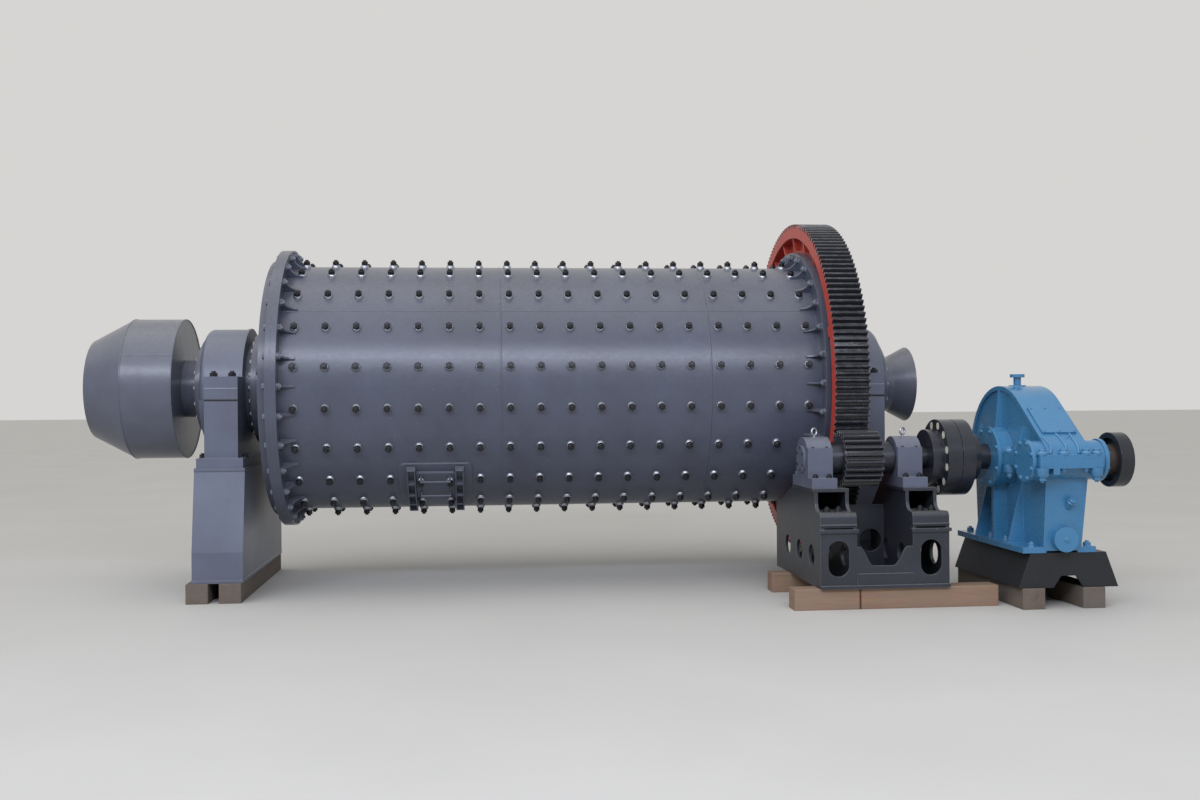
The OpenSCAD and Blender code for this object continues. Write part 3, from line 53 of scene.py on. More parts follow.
# Setting: the camera stands where the photograph was taken, level and just below the mill's axis.
# A plain pale floor and wide soft light from above, with one long soft strip behind the camera.
shell_low, shell_high = (np.array(corner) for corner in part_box("shell"))
middle = (shell_low + shell_high) / 2
lens_mm, sensor_mm, yaw, tilt = 36.342, 36.0, -0.1015, -0.0077
camera_from_middle = [-0.653, -11.028, -0.128]
camera_data = bpy.data.cameras.new("camera")
camera_data.lens = lens_mm
camera_data.sensor_width = sensor_mm
camera_data.sensor_fit = "HORIZONTAL"
camera_data.clip_end = 200.0
camera = bpy.data.objects.new("camera", camera_data)
bpy.context.scene.collection.objects.link(camera)
right = np.array([np.cos(yaw), np.sin(yaw), 0.0])
ahead = np.array([-np.sin(yaw), np.cos(yaw), 0.0])
upright = np.array([0.0, 0.0, 1.0])
turn = np.eye(4)
turn[:3, 0] = np.cos(tilt) * right + np.sin(tilt) * upright
turn[:3, 1] = np.cos(tilt) * upright - np.sin(tilt) * right
turn[:3, 2] = -ahead
turn[:3, 3] = middle + camera_from_middle
camera.matrix_world = Matrix(turn.tolist())
bpy.context.scene.camera = camera
bpy.context.scene.view_settings.view_transform = "Standard"


def linear(code):
    """Linear colour of an sRGB hex code: c / 12.92 up to 0.04045, else ((c + 0.055) / 1.055) ^ 2.4."""
    srgb = np.array([int(code[i:i + 2], 16) for i in (1, 3, 5)]) / 255.0
    return (*np.where(srgb <= 0.04045, srgb / 12.92, ((srgb + 0.055) / 1.055) ** 2.4), 1.0)


def add(tree, kind, inputs=None, **settings):
    """Add a node with its settings and inputs: a socket is linked, any other value is set."""
    node = tree.nodes.new(kind)
    for name, value in settings.items():
        setattr(node, name, value)
    for name, value in (inputs or {}).items():
        if isinstance(value, bpy.types.NodeSocket):
            tree.links.new(value, node.inputs[name])
        else:
            node.inputs[name].default_value = value
    return node


def blank(name):
    """A new material with an empty node tree, and the object's own coordinates in metres."""
    made = bpy.data.materials.new(name)
    made.use_nodes = True
    made.node_tree.nodes.clear()
    return made, made.node_tree, add(made.node_tree, "ShaderNodeTexCoord").outputs["Object"]


def area_light(name, place, target, width, height, power, colour):
    """A rectangular soft light at a place, facing a target."""
    data = bpy.data.lights.new(name, "AREA")
    data.shape = "RECTANGLE"
    data.size, data.size_y, data.energy, data.color = width, height, power, linear(colour)[:3]
    lamp = bpy.data.objects.new(name, data)
    back = np.array(place, float) - np.array(target, float)
    back /= np.linalg.norm(back)
    side = np.cross([0.0, 1.0, 0.0] if abs(back[2]) > 0.9 else [0.0, 0.0, 1.0], back)
    side /= np.linalg.norm(side)
    pose = np.eye(4)
    pose[:3, 0], pose[:3, 1], pose[:3, 2], pose[:3, 3] = side, np.cross(back, side), back, place
    lamp.matrix_world = Matrix(pose.tolist())
    bpy.context.scene.collection.objects.link(lamp)


sky = bpy.data.lights.new("overhead", "SUN")
sky.energy, sky.angle, sky.color = 1.15, np.radians(75.0), linear("#fffdf8")[:3]
overhead = bpy.data.objects.new("overhead", sky)
overhead.rotation_euler = (np.radians(14.0), np.radians(-20.0), 0.0)
bpy.context.scene.collection.objects.link(overhead)
area_light("front", (-2.0, -12.0, 8.1), (0.0, 0.0, 1.7), 16.0, 1.6, 1400.0, "#e8eeff")
world = bpy.data.worlds.new("hall")
bpy.context.scene.world = world
world.use_nodes = True
world.node_tree.nodes.clear()
path = add(world.node_tree, "ShaderNodeLightPath")
clear = add(world.node_tree, "ShaderNodeMath", {0: path.outputs["Is Camera Ray"],
                                                1: path.outputs["Is Transmission Ray"]}, operation="MAXIMUM")
seen = add(world.node_tree, "ShaderNodeMath", {0: clear.outputs[0], 1: path.outputs["Is Glossy Ray"]},
           operation="MAXIMUM")
plain = add(world.node_tree, "ShaderNodeBackground", {"Color": linear("#e6e8ec"), "Strength": 0.62})
backdrop = add(world.node_tree, "ShaderNodeBackground", {"Color": linear("#d6d5d3"), "Strength": 1.0})
mixed = add(world.node_tree, "ShaderNodeMixShader", {0: seen.outputs[0], 1: plain.outputs[0],
                                                    2: backdrop.outputs[0]})
add(world.node_tree, "ShaderNodeOutputWorld", {"Surface": mixed.outputs[0]})

reach = 120.0
floor_mesh = bpy.data.meshes.new("floor")
floor_mesh.from_pydata([(-reach, -reach, 0), (reach, -reach, 0), (reach, reach, 0), (-reach, reach, 0)], [],
                       [(0, 1, 2, 3)])
floor = bpy.data.objects.new("floor", floor_mesh)
bpy.context.scene.collection.objects.link(floor)
material, tree, place = blank("pale_floor")
cloud = add(tree, "ShaderNodeTexNoise", {"Vector": place, "Scale": 0.6, "Detail": 5.0})
shade = add(tree, "ShaderNodeMix", {0: cloud.outputs[0], 6: linear("#b5b3ae"), 7: linear("#c1bfba")},
            data_type="RGBA")
skin = add(tree, "ShaderNodeBsdfPrincipled", {"Base Color": shade.outputs[2], "Roughness": 0.75})
add(tree, "ShaderNodeOutputMaterial", {"Surface": skin.outputs[0]})
floor_mesh.materials.append(material)
floor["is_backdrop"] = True


def rounded_edge_wear_and_highlight(tree, radius, share):
    """A normal rounded over the sharp edges, and a mask of those edges from 0 up to a share, used for worn
    edges and for painted highlights on them.
    """
    soft = add(tree, "ShaderNodeBevel", {"Radius": radius}, samples=6)
    facing = add(tree, "ShaderNodeNewGeometry")
    bend = add(tree, "ShaderNodeVectorMath", {0: soft.outputs[0], 1: facing.outputs["Normal"]},
               operation="DOT_PRODUCT")
    worn = add(tree, "ShaderNodeMapRange", {"Value": bend.outputs["Value"], "From Min": 0.99,
                                            "From Max": 0.80, "To Max": share})
    return soft.outputs[0], worn.outputs[0]


# Timber packing: rough sawn softwood, grey-brown and dusty, laid loose on the floor under each unit.
# The grain runs along each timber, and drying checks follow it.
def dress(material, *nodes):
    """Put a material on every slot of these CAD nodes."""
    for node in nodes:
        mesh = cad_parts[node].data
        for index in range(max(1, len(mesh.materials))):
            if index < len(mesh.materials):
                mesh.materials[index] = material
            else:
                mesh.materials.append(material)


def timber(name, stretch, dark, pale, worn_colour):
    """Sawn timber: growth bands and checks stretched along the grain, greyed in patches, edges worn."""
    material, tree, place = blank(name)
    grain = add(tree, "ShaderNodeMapping", {"Vector": place, "Scale": stretch})
    band = add(tree, "ShaderNodeTexNoise", {"Vector": grain.outputs[0], "Scale": 9.0, "Detail": 6.0,
                                            "Roughness": 0.65, "Distortion": 0.4})
    fibre = add(tree, "ShaderNodeTexNoise", {"Vector": grain.outputs[0], "Scale": 70.0, "Detail": 3.0})
    patch = add(tree, "ShaderNodeTexNoise", {"Vector": place, "Scale": 2.2, "Detail": 4.0})
    wood = add(tree, "ShaderNodeMix", {0: band.outputs[0], 6: linear(dark), 7: linear(pale)},
               data_type="RGBA")
    lines = add(tree, "ShaderNodeMix", {0: 0.35, 6: wood.outputs[2], 7: fibre.outputs[1]},
                data_type="RGBA", blend_type="OVERLAY")
    grey = add(tree, "ShaderNodeMapRange", {"Value": patch.outputs[0], "From Min": 0.4, "From Max": 0.7,
                                            "To Min": 0.1, "To Max": 0.75})
    worn = add(tree, "ShaderNodeMix", {0: grey.outputs[0], 6: lines.outputs[2], 7: linear(worn_colour)},
               data_type="RGBA")
    check = add(tree, "ShaderNodeMapRange", {"Value": band.outputs[0], "From Min": 0.34, "From Max": 0.30,
                                             "To Min": 0.0, "To Max": 0.8})
    split = add(tree, "ShaderNodeMix", {0: check.outputs[0], 6: worn.outputs[2], 7: linear("#2a211c")},
                data_type="RGBA")
    soft, edge_wear_and_glint = rounded_edge_wear_and_highlight(tree, 0.014, 0.6)
    edged = add(tree, "ShaderNodeMix", {0: edge_wear_and_glint, 6: split.outputs[2], 7: linear(pale)}, data_type="RGBA")
    rough = add(tree, "ShaderNodeBump", {"Height": fibre.outputs[0], "Normal": soft,
                                         "Strength": 0.35, "Distance": 0.002})
    deep = add(tree, "ShaderNodeBump", {"Height": band.outputs[0], "Normal": rough.outputs[0],
                                        "Strength": 0.5, "Distance": 0.006})
    skin = add(tree, "ShaderNodeBsdfPrincipled", {"Base Color": edged.outputs[2], "Roughness": 0.85,
                                                  "Normal": deep.outputs[0]})
    add(tree, "ShaderNodeOutputMaterial", {"Surface": skin.outputs[0]})
    return material


dress(timber("grey_sawn_timber", (1.0, 0.07, 1.0), "#3b322c", "#7e6f61", "#635e59"), "feed_timbers",
      "discharge_timbers", "gearbox_timbers")
dress(timber("brown_sawn_timber", (0.07, 1.0, 1.0), "#5c4639", "#a3846f", "#82715f"), "pinion_timbers")


# Pedestals: welded steel boxes, each with a foot plate and a top plate, in blue-grey satin paint.
# Weld beads run under the top plate and over the foot plate.
def paint(name, colour, shade, rough, dust=0.3, coat=0.0, fleck=0.14, wave=0.15, rim="#8d9099", worn=0.35,
          bare_from=100.0):
    """Shop paint on steel: slow mottling, faint runs, flecks, dust on upward faces, orange peel.
    The sharp edges are rounded in the light and painted the pale rim colour, partly as thin worn paint, partly
    as a painted highlight. Above the height bare_from it is bright steel."""
    material, tree, place = blank(name)
    cloud = add(tree, "ShaderNodeTexNoise", {"Vector": place, "Scale": 1.7, "Detail": 6.0, "Roughness": 0.6})
    fine = add(tree, "ShaderNodeTexNoise", {"Vector": place, "Scale": 38.0, "Detail": 5.0})
    tall = add(tree, "ShaderNodeMapping", {"Vector": place, "Scale": (7.0, 7.0, 0.7)})
    run = add(tree, "ShaderNodeTexNoise", {"Vector": tall.outputs[0], "Scale": 1.6, "Detail": 4.0})
    slow = add(tree, "ShaderNodeMapRange", {"Value": cloud.outputs[0], "From Min": 0.35, "From Max": 0.65})
    body = add(tree, "ShaderNodeMix", {0: slow.outputs[0], 6: linear(colour), 7: linear(shade)},
               data_type="RGBA")
    veil = add(tree, "ShaderNodeMapRange", {"Value": run.outputs[0], "From Min": 0.52, "From Max": 0.75,
                                            "To Max": 0.35})
    runs = add(tree, "ShaderNodeMix", {0: veil.outputs[0], 6: body.outputs[2], 7: linear(shade)},
               data_type="RGBA")
    spot = add(tree, "ShaderNodeMapRange", {"Value": fine.outputs[0], "From Min": 0.66, "From Max": 0.74,
                                            "To Max": fleck})
    flecks = add(tree, "ShaderNodeMix", {0: spot.outputs[0], 6: runs.outputs[2], 7: linear("#9a9a98")},
                 data_type="RGBA")
    facing = add(tree, "ShaderNodeNewGeometry")
    split = add(tree, "ShaderNodeSeparateXYZ", {0: facing.outputs["Normal"]})
    upward = add(tree, "ShaderNodeMapRange", {"Value": split.outputs[2], "From Min": 0.35, "From Max": 1.0,
                                              "To Max": dust})
    laid = add(tree, "ShaderNodeMath", {0: upward.outputs[0], 1: fine.outputs[0]}, operation="MULTIPLY")
    # The rim colour on the edges is partly thin worn paint and partly a painted highlight.
    soft, thin = rounded_edge_wear_and_highlight(tree, 0.004, worn)
    edged = add(tree, "ShaderNodeMix", {0: thin, 6: flecks.outputs[2], 7: linear(rim)}, data_type="RGBA")
    dusty = add(tree, "ShaderNodeMix", {0: laid.outputs[0], 6: edged.outputs[2], 7: linear("#a5a29b")},
                data_type="RGBA")
    gloss = add(tree, "ShaderNodeMapRange", {"Value": fine.outputs[0], "From Min": 0.3, "From Max": 0.7,
                                             "To Min": rough - 0.03, "To Max": rough + 0.03})
    skin_noise = add(tree, "ShaderNodeTexNoise", {"Vector": place, "Scale": 240.0, "Detail": 2.0})
    grainy = add(tree, "ShaderNodeBump", {"Height": skin_noise.outputs[0], "Normal": soft,
                                          "Strength": 0.015, "Distance": 0.001})
    wavy = add(tree, "ShaderNodeBump", {"Height": cloud.outputs[0], "Normal": grainy.outputs[0],
                                        "Strength": wave, "Distance": 0.02})
    height = add(tree, "ShaderNodeSeparateXYZ", {0: place})
    bare = add(tree, "ShaderNodeMath", {0: height.outputs[2], 1: bare_from}, operation="GREATER_THAN")
    final = add(tree, "ShaderNodeMix", {0: bare.outputs[0], 6: dusty.outputs[2], 7: linear("#b9bcc2")},
                data_type="RGBA")
    skin = add(tree, "ShaderNodeBsdfPrincipled", {"Base Color": final.outputs[2], "Metallic": bare.outputs[0],
                                                  "Roughness": gloss.outputs[0], "Normal": wavy.outputs[0],
                                                  "Coat Weight": coat, "Coat Roughness": 0.14})
    add(tree, "ShaderNodeOutputMaterial", {"Surface": skin.outputs[0]})
    return material


def steel(name, colour, shade, rough, metallic):
    """Bare or blackened steel: fine mottling of colour and gloss, light pitting."""
    material, tree, place = blank(name)
    fine = add(tree, "ShaderNodeTexNoise", {"Vector": place, "Scale": 90.0, "Detail": 5.0})
    body = add(tree, "ShaderNodeMix", {0: fine.outputs[0], 6: linear(colour), 7: linear(shade)},
               data_type="RGBA")
    gloss = add(tree, "ShaderNodeMapRange", {"Value": fine.outputs[0], "From Min": 0.3, "From Max": 0.7,
                                             "To Min": rough - 0.08, "To Max": rough + 0.1})
    soft = add(tree, "ShaderNodeBevel", {"Radius": 0.002}, samples=6)
    pits = add(tree, "ShaderNodeBump", {"Height": fine.outputs[0], "Normal": soft.outputs[0],
                                        "Strength": 0.12, "Distance": 0.001})
    skin = add(tree, "ShaderNodeBsdfPrincipled", {"Base Color": body.outputs[2], "Metallic": metallic,
                                                  "Roughness": gloss.outputs[0], "Normal": pits.outputs[0]})
    add(tree, "ShaderNodeOutputMaterial", {"Surface": skin.outputs[0]})
    return material


def grid_faces(rows, columns, closed=True):
    """Four corner numbers of every cell of a grid of points; closed joins the last column to the first."""
    i, j = np.meshgrid(np.arange(rows - 1), np.arange(columns if closed else columns - 1), indexing="ij")
    k = (j + 1) % columns
    corners = [i * columns + j, (i + 1) * columns + j, (i + 1) * columns + k, i * columns + k]
    return np.stack(corners, -1).reshape(-1, 4)


def turned(profile, sides, feet, axes, start=0.0):
    """A profile of (radius, height), from the top's middle out and down, turned about an axis at each foot.
    point = foot + height * axis + radius * (cos(t) * across + sin(t) * third), t in full turn / sides."""
    profile = np.array(profile, float)
    feet = np.atleast_2d(np.array(feet, float))
    axes = np.broadcast_to(np.array(axes, float), feet.shape)
    axes = axes / np.linalg.norm(axes, axis=1, keepdims=True)
    guide = np.where(np.abs(axes[:, :1]) < 0.9, [[1.0, 0.0, 0.0]], [[0.0, 1.0, 0.0]])
    across = np.cross(axes, guide)
    across /= np.linalg.norm(across, axis=1, keepdims=True)
    third = np.cross(axes, across)
    t = start + np.arange(sides) * 2 * np.pi / sides
    ring = np.cos(t)[None, :, None] * across[:, None] + np.sin(t)[None, :, None] * third[:, None]
    points = (feet[:, None, None] + profile[None, :, None, 1:] * axes[:, None, None]
              + profile[None, :, None, :1] * ring[:, None])
    cells = grid_faces(len(profile), sides)
    first = np.arange(len(feet))[:, None, None] * len(profile) * sides
    return points.reshape(-1, 3), (cells[None] + first).reshape(-1, 4)


def bead(line, outward, width, height):
    """A weld bead along a line of points: half an ellipse of that width and height on the surface.
    point = line + width / 2 * cos(t) * side + height * sin(t) * outward, t from 0 to half a turn."""
    line = np.array(line, float)
    outward = np.broadcast_to(np.array(outward, float), line.shape)
    outward = outward / np.linalg.norm(outward, axis=1, keepdims=True)
    along = np.gradient(line, axis=0)
    side = np.cross(along, outward)
    side /= np.linalg.norm(side, axis=1, keepdims=True)
    t = np.linspace(0.0, np.pi, 7)[None, :, None]
    points = line[:, None] + width / 2 * np.cos(t) * side[:, None] + height * np.sin(t) * outward[:, None]
    return points.reshape(-1, 3), grid_faces(len(line), 7, closed=False)


def straight(start, end, step=0.02):
    """Points on a straight line, a step apart."""
    start, end = np.array(start, float), np.array(end, float)
    count = max(2, int(np.linalg.norm(end - start) / step))
    return start + (end - start) * np.linspace(0.0, 1.0, count)[:, None]


def piece(name, parts, material, body):
    """One mesh object from parts of (points, faces), riding on a body; smooth up to an edge of 35 degrees."""
    counts = np.cumsum([0] + [len(points) for points, faces in parts])
    points = np.concatenate([points for points, faces in parts])
    faces = np.concatenate([faces + first for (corners, faces), first in zip(parts, counts)])
    mesh = bpy.data.meshes.new(name)
    mesh.from_pydata(points.tolist(), [], faces.tolist())
    mesh.shade_smooth()
    mesh.set_sharp_from_angle(angle=np.radians(35.0))
    mesh.materials.append(material)
    obj = bpy.data.objects.new(name, mesh)
    bpy.context.scene.collection.objects.link(obj)
    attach(obj, body)
    return obj


def nuts(feet, axes, thread):
    """Hexagon nuts on washers with the stud's end standing out, for a thread diameter."""
    washer = [(0.0, 0.12), (1.0, 0.12), (1.05, 0.09), (1.05, 0.0)]
    nut = [(0.5, 0.95), (0.78, 0.95), (0.92, 0.88), (0.92, 0.1)]
    stud = [(0.0, 1.35), (0.42, 1.35), (0.5, 1.27), (0.5, 0.9)]
    return [turned(np.array(washer) * thread, 20, feet, axes), turned(np.array(nut) * thread, 6, feet, axes),
            turned(np.array(stud) * thread, 14, feet, axes)]


def screws(feet, axes, thread):
    """Hexagon screw heads on washers, for a thread diameter."""
    washer = [(0.0, 0.12), (1.0, 0.12), (1.05, 0.09), (1.05, 0.0)]
    head = [(0.0, 0.76), (0.75, 0.76), (0.9, 0.68), (0.9, 0.1)]
    return [turned(np.array(washer) * thread, 20, feet, axes), turned(np.array(head) * thread, 6, feet, axes)]


def bounds_of(node):
    """Lowest and highest corner of a CAD node."""
    return [np.array(corner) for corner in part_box(node)]


blue_grey = paint("blue_grey_paint", "#616778", "#565b6b", 0.38)
dark_bolt = steel("oiled_black_bolt", "#2c2d31", "#3b3c40", 0.42, 0.7)
dress(blue_grey, "feed_pedestal", "discharge_pedestal", "feed_bearing_base", "feed_bearing_cap",
      "discharge_bearing_base", "discharge_bearing_cap")
plate_t, foot_weld, top_weld = 0.025, 0.97, 0.86
for name in ("feed", "discharge"):
    low, high = bounds_of(name + "_pedestal")
    welds = []
    for x, out in ((low[0], -1.0), (high[0], 1.0)):
        for z, half in ((low[2] + plate_t, foot_weld), (high[2] - plate_t, top_weld)):
            welds.append(bead(straight((x, middle[1] - half, z), (x, middle[1] + half, z)), (out, 0, 0),
                              0.010, 0.004))
    piece(name + "_pedestal_welds", welds, blue_grey, "frame")

# Main bearings: cast blocks on sole plates, with a rolled cap bolted down on each side.
# Tall studs stand on the cap's lugs, and hold-down nuts on the ends of the sole plate.
block_x, sole_x, lug_z, sole_t = 2.757, 2.748, 0.090, 0.080
lug_half, lug_bolt_y, sole_half, sole_bolt_y = 0.075, 0.655, 0.174, 0.68
block_half, block_side = 0.136, 0.750
# Pale paint for a painted highlight line along the bearing's parting edge.
highlight_line_paint = paint("painted_highlight_line", "#8b909d", "#7f8491", 0.4)
for side, name in ((-1, "feed"), (1, "discharge")):
    base_z = bounds_of(name + "_bearing_base")[0][2] + sole_t
    top_z = middle[2] + lug_z
    xs = middle[0] + side * block_x
    lugs = [(xs + a, middle[1] + b, top_z) for a in (-lug_half, lug_half) for b in (-lug_bolt_y, lug_bolt_y)]
    sole = [(middle[0] + side * sole_x + a, middle[1] + b, base_z) for a in (-sole_half, sole_half)
            for b in (-sole_bolt_y, sole_bolt_y)]
    piece(name + "_bearing_studs", nuts(lugs, (0, 0, 1), 0.036) + nuts(sole, (0, 0, 1), 0.028), dark_bolt,
          "frame")
    # On each side a pale bead is a painted highlight on the parting line's edge, and a dark bead under the
    # lugs is a painted shadow in the gap.
    pale, dark = [], []
    for out in (-1, 1):
        y = middle[1] + out * block_side
        for z, lines, thick in ((middle[2] - 0.008, pale, 0.008), (middle[2] - 0.105, dark, 0.018)):
            lines.append(bead(straight((xs - block_half, y, z), (xs + block_half, y, z)), (0, out, 0), thick,
                              0.003))
    piece(name + "_bearing_painted_parting_highlights", pale, highlight_line_paint, "frame")
    piece(name + "_bearing_painted_lug_shadows", dark, dark_bolt, "frame")


# Shell: rolled plate with one lengthwise and two round seams, and gussets behind each flange.
# Liner bolts come through in twenty rows, each with a bright cup washer and a dark nut.
def outward(degrees):
    """Directions square to the mill's axis, at angles above the horizontal on the pinion's side."""
    turn = np.radians(np.atleast_1d(np.array(degrees, float)))
    return np.stack([np.zeros_like(turn), -np.cos(turn), np.sin(turn)], -1)


def ring_feet(x, radius, degrees, centre=middle):
    """Points on a circle about the mill's axis, or another centre, at a place along it."""
    return centre + outward(degrees) * radius + np.array([x, 0.0, 0.0])


shell_grey = paint("shell_paint", "#4e5363", "#454957", 0.31, dust=0.33, wave=0.22)
dress(shell_grey, "shell", "feed_head", "feed_trunnion", "feed_neck", "discharge_head",
      "discharge_trunnion", "manhole_cover", "manhole_clamps")
shell_r, frame_t, door_t = 1.072, 0.012, 0.0243
first_row, row_step, first_column, pitch = 62.36, 18.0, -2.125, 0.25
rows = first_row - row_step * np.arange(20)
columns = first_column + pitch * np.arange(18)
angle, x = (grid.ravel() for grid in np.meshgrid(rows, columns, indexing="ij"))
on_frame = (np.abs(x + 1.0) < 0.2) & (angle < -40.0) & (angle > -70.0)
on_door = on_frame & (angle > -50.0)
radius = shell_r + frame_t * on_frame + door_t * on_door
feet = middle + outward(angle) * radius[:, None] + np.stack([x, 0 * x, 0 * x], -1)
axes = outward(angle)
cup = [(0.019, 0.020), (0.028, 0.0205), (0.034, 0.014), (0.038, 0.003), (0.038, -0.002)]
nut = [(0.014, 0.054), (0.0250, 0.054), (0.0295, 0.050), (0.0295, 0.017)]
stud = [(0.0, 0.066), (0.0130, 0.066), (0.015, 0.064), (0.015, 0.053)]
bright_cup = steel("bright_zinc_washer", "#b9bcc4", "#8f939c", 0.34, 0.85)
piece("liner_bolt_washers", [turned(cup, 18, feet, axes)], bright_cup, "mill")
piece("liner_bolt_nuts", [turned(nut, 6, feet, axes), turned(stud, 12, feet, axes)], dark_bolt, "mill")
seam_turn = np.linspace(0.0, 360.0, 241)
joints, long_seam = (-2.24, -0.45, 1.30, 2.24), 35.5
seams = [bead(ring_feet(x, shell_r, seam_turn), outward(seam_turn), 0.016, 0.003) for x in joints[1:3]]
seams += [bead(straight(ring_feet(a, shell_r, long_seam)[0], ring_feet(b, shell_r, long_seam)[0], 0.03),
               outward(long_seam), 0.016, 0.003) for a, b in zip(joints, joints[1:])]
piece("shell_welds", seams, shell_grey, "mill")

# Heads: cast ends bolted to the shell's flanges, screw heads outside and nuts between the gussets.
# They are painted over. On the drive side the same bolts also hold the girth gear's web.
# Their pale rims are partly worn paint and partly a painted highlight.
painted_bolt = paint("painted_bolt", "#666b79", "#585d6a", 0.34, rim="#b4b8c2", worn=0.6)
flange_turn, flange_bolt_r, flange_back = 12.0 * np.arange(30), 1.168, 2.240
for side, name, face in ((-1, "feed", 2.330), (1, "discharge", 2.390)):
    feet = ring_feet(side * face, flange_bolt_r, flange_turn)
    back = ring_feet(side * flange_back, flange_bolt_r, flange_turn)
    piece(name + "_head_bolts", screws(feet, (side, 0, 0), 0.030) + nuts(back, (-side, 0, 0), 0.030),
          painted_bolt, "mill")

# Trunnions and neck tubes: turned journals bolted to the heads' hubs.
# The neck's flange is bolted to the end of the trunnion.
hub_x, hub_bolt_r, neck_x, neck_bolt_r = 2.570, 0.440, 3.051, 0.345
for side, name in ((-1, "feed"), (1, "discharge")):
    feet = ring_feet(side * hub_x, hub_bolt_r, 15.0 * np.arange(24))
    ends = ring_feet(side * neck_x, neck_bolt_r, 22.5 * np.arange(16))
    piece(name + "_trunnion_bolts", screws(feet, (side, 0, 0), 0.024) + screws(ends, (side, 0, 0), 0.020),
          bright_cup, "mill")

# Feed drum and discharge cone: rolled and welded sheet, grey paint, plain edges.
# A seam runs round the drum where its cone starts, and one along it.
# The drum's heavy dust on upward faces is partly dust and partly a painted highlight on its top.
drum_grey = paint("drum_paint", "#595d6b", "#4f535f", 0.31, dust=0.5, wave=0.3)
dress(drum_grey, "feed_drum", "discharge_cone")
drum_r, cone_x, mouth_x, drum_seam = 0.610, -3.615, -3.195, 27.0
seams = [bead(ring_feet(cone_x, drum_r, seam_turn), outward(seam_turn), 0.014, 0.004),
         bead(ring_feet(mouth_x, drum_r, seam_turn), outward(seam_turn), 0.010, 0.003),
         bead(straight(ring_feet(cone_x, drum_r, drum_seam)[0], ring_feet(mouth_x, drum_r, drum_seam)[0]),
              outward(drum_seam), 0.014, 0.003)]
piece("feed_drum_welds", seams, drum_grey, "mill")

# Girth gear: cast in two halves, cut teeth packed with black grease, the sides in red primer.
# The mask is read from the place on the gear: near the teeth's roots and beyond it is greasy.
root_r = 1.433
material, tree, place = blank("red_primer_and_grease")
local = add(tree, "ShaderNodeVectorMath", {0: place, 1: (middle[0], middle[1], middle[2])},
            operation="SUBTRACT")
flat = add(tree, "ShaderNodeVectorMath", {0: local.outputs[0], 1: (0.0, 1.0, 1.0)}, operation="MULTIPLY")
radius = add(tree, "ShaderNodeVectorMath", {0: flat.outputs[0]}, operation="LENGTH")
facing = add(tree, "ShaderNodeNewGeometry")
split = add(tree, "ShaderNodeSeparateXYZ", {0: facing.outputs["True Normal"]})
sideways = add(tree, "ShaderNodeMath", {0: split.outputs[0]}, operation="ABSOLUTE")
ends = add(tree, "ShaderNodeMath", {0: sideways.outputs[0], 1: 0.5}, operation="LESS_THAN")
cloud = add(tree, "ShaderNodeTexNoise", {"Vector": place, "Scale": 14.0, "Detail": 6.0})
edge = add(tree, "ShaderNodeMath", {0: cloud.outputs[0], 1: 0.02}, operation="MULTIPLY")
reach = add(tree, "ShaderNodeMath", {0: radius.outputs["Value"], 1: edge.outputs[0]}, operation="ADD")
toothed = add(tree, "ShaderNodeMapRange", {"Value": reach.outputs[0], "From Min": root_r,
                                               "From Max": root_r + 0.004})
greasy = add(tree, "ShaderNodeMath", {0: toothed.outputs[0], 1: ends.outputs[0]}, operation="MULTIPLY")
smear = add(tree, "ShaderNodeMapRange", {"Value": cloud.outputs[0], "From Min": 0.55, "From Max": 0.7,
                                         "To Max": 0.5})
primer = add(tree, "ShaderNodeMix", {0: smear.outputs[0], 6: linear("#b53a2c"), 7: linear("#742c25")},
             data_type="RGBA")
both = add(tree, "ShaderNodeMix", {0: greasy.outputs[0], 6: primer.outputs[2], 7: linear("#292a2f")},
           data_type="RGBA")
gloss = add(tree, "ShaderNodeMix", {0: greasy.outputs[0], 2: 0.45, 3: 0.16})
lumps = add(tree, "ShaderNodeTexNoise", {"Vector": place, "Scale": 90.0, "Detail": 4.0})
# Tooth edges are painted pale in patches: partly grease rubbed off the steel, partly a painted highlight
# standing in for glints.
soft, edge_wear_and_glint = rounded_edge_wear_and_highlight(tree, 0.003, 0.9)
patchy = add(tree, "ShaderNodeMapRange", {"Value": cloud.outputs[0], "From Min": 0.40, "From Max": 0.62})
bright = add(tree, "ShaderNodeMath", {0: edge_wear_and_glint, 1: patchy.outputs[0]}, operation="MULTIPLY")
tips_wear_and_glint = add(tree, "ShaderNodeMix", {0: bright.outputs[0], 6: both.outputs[2], 7: linear("#cfd2d8")},
           data_type="RGBA")
relief = add(tree, "ShaderNodeBump", {"Height": lumps.outputs[0], "Normal": soft, "Strength": 0.12,
                                      "Distance": 0.003})
skin = add(tree, "ShaderNodeBsdfPrincipled", {"Base Color": tips_wear_and_glint.outputs[2], "Roughness": gloss.outputs[0],
                                              "Normal": relief.outputs[0]})
add(tree, "ShaderNodeOutputMaterial", {"Surface": skin.outputs[0]})
dress(material, "girth_gear_lower_half", "girth_gear_upper_half")


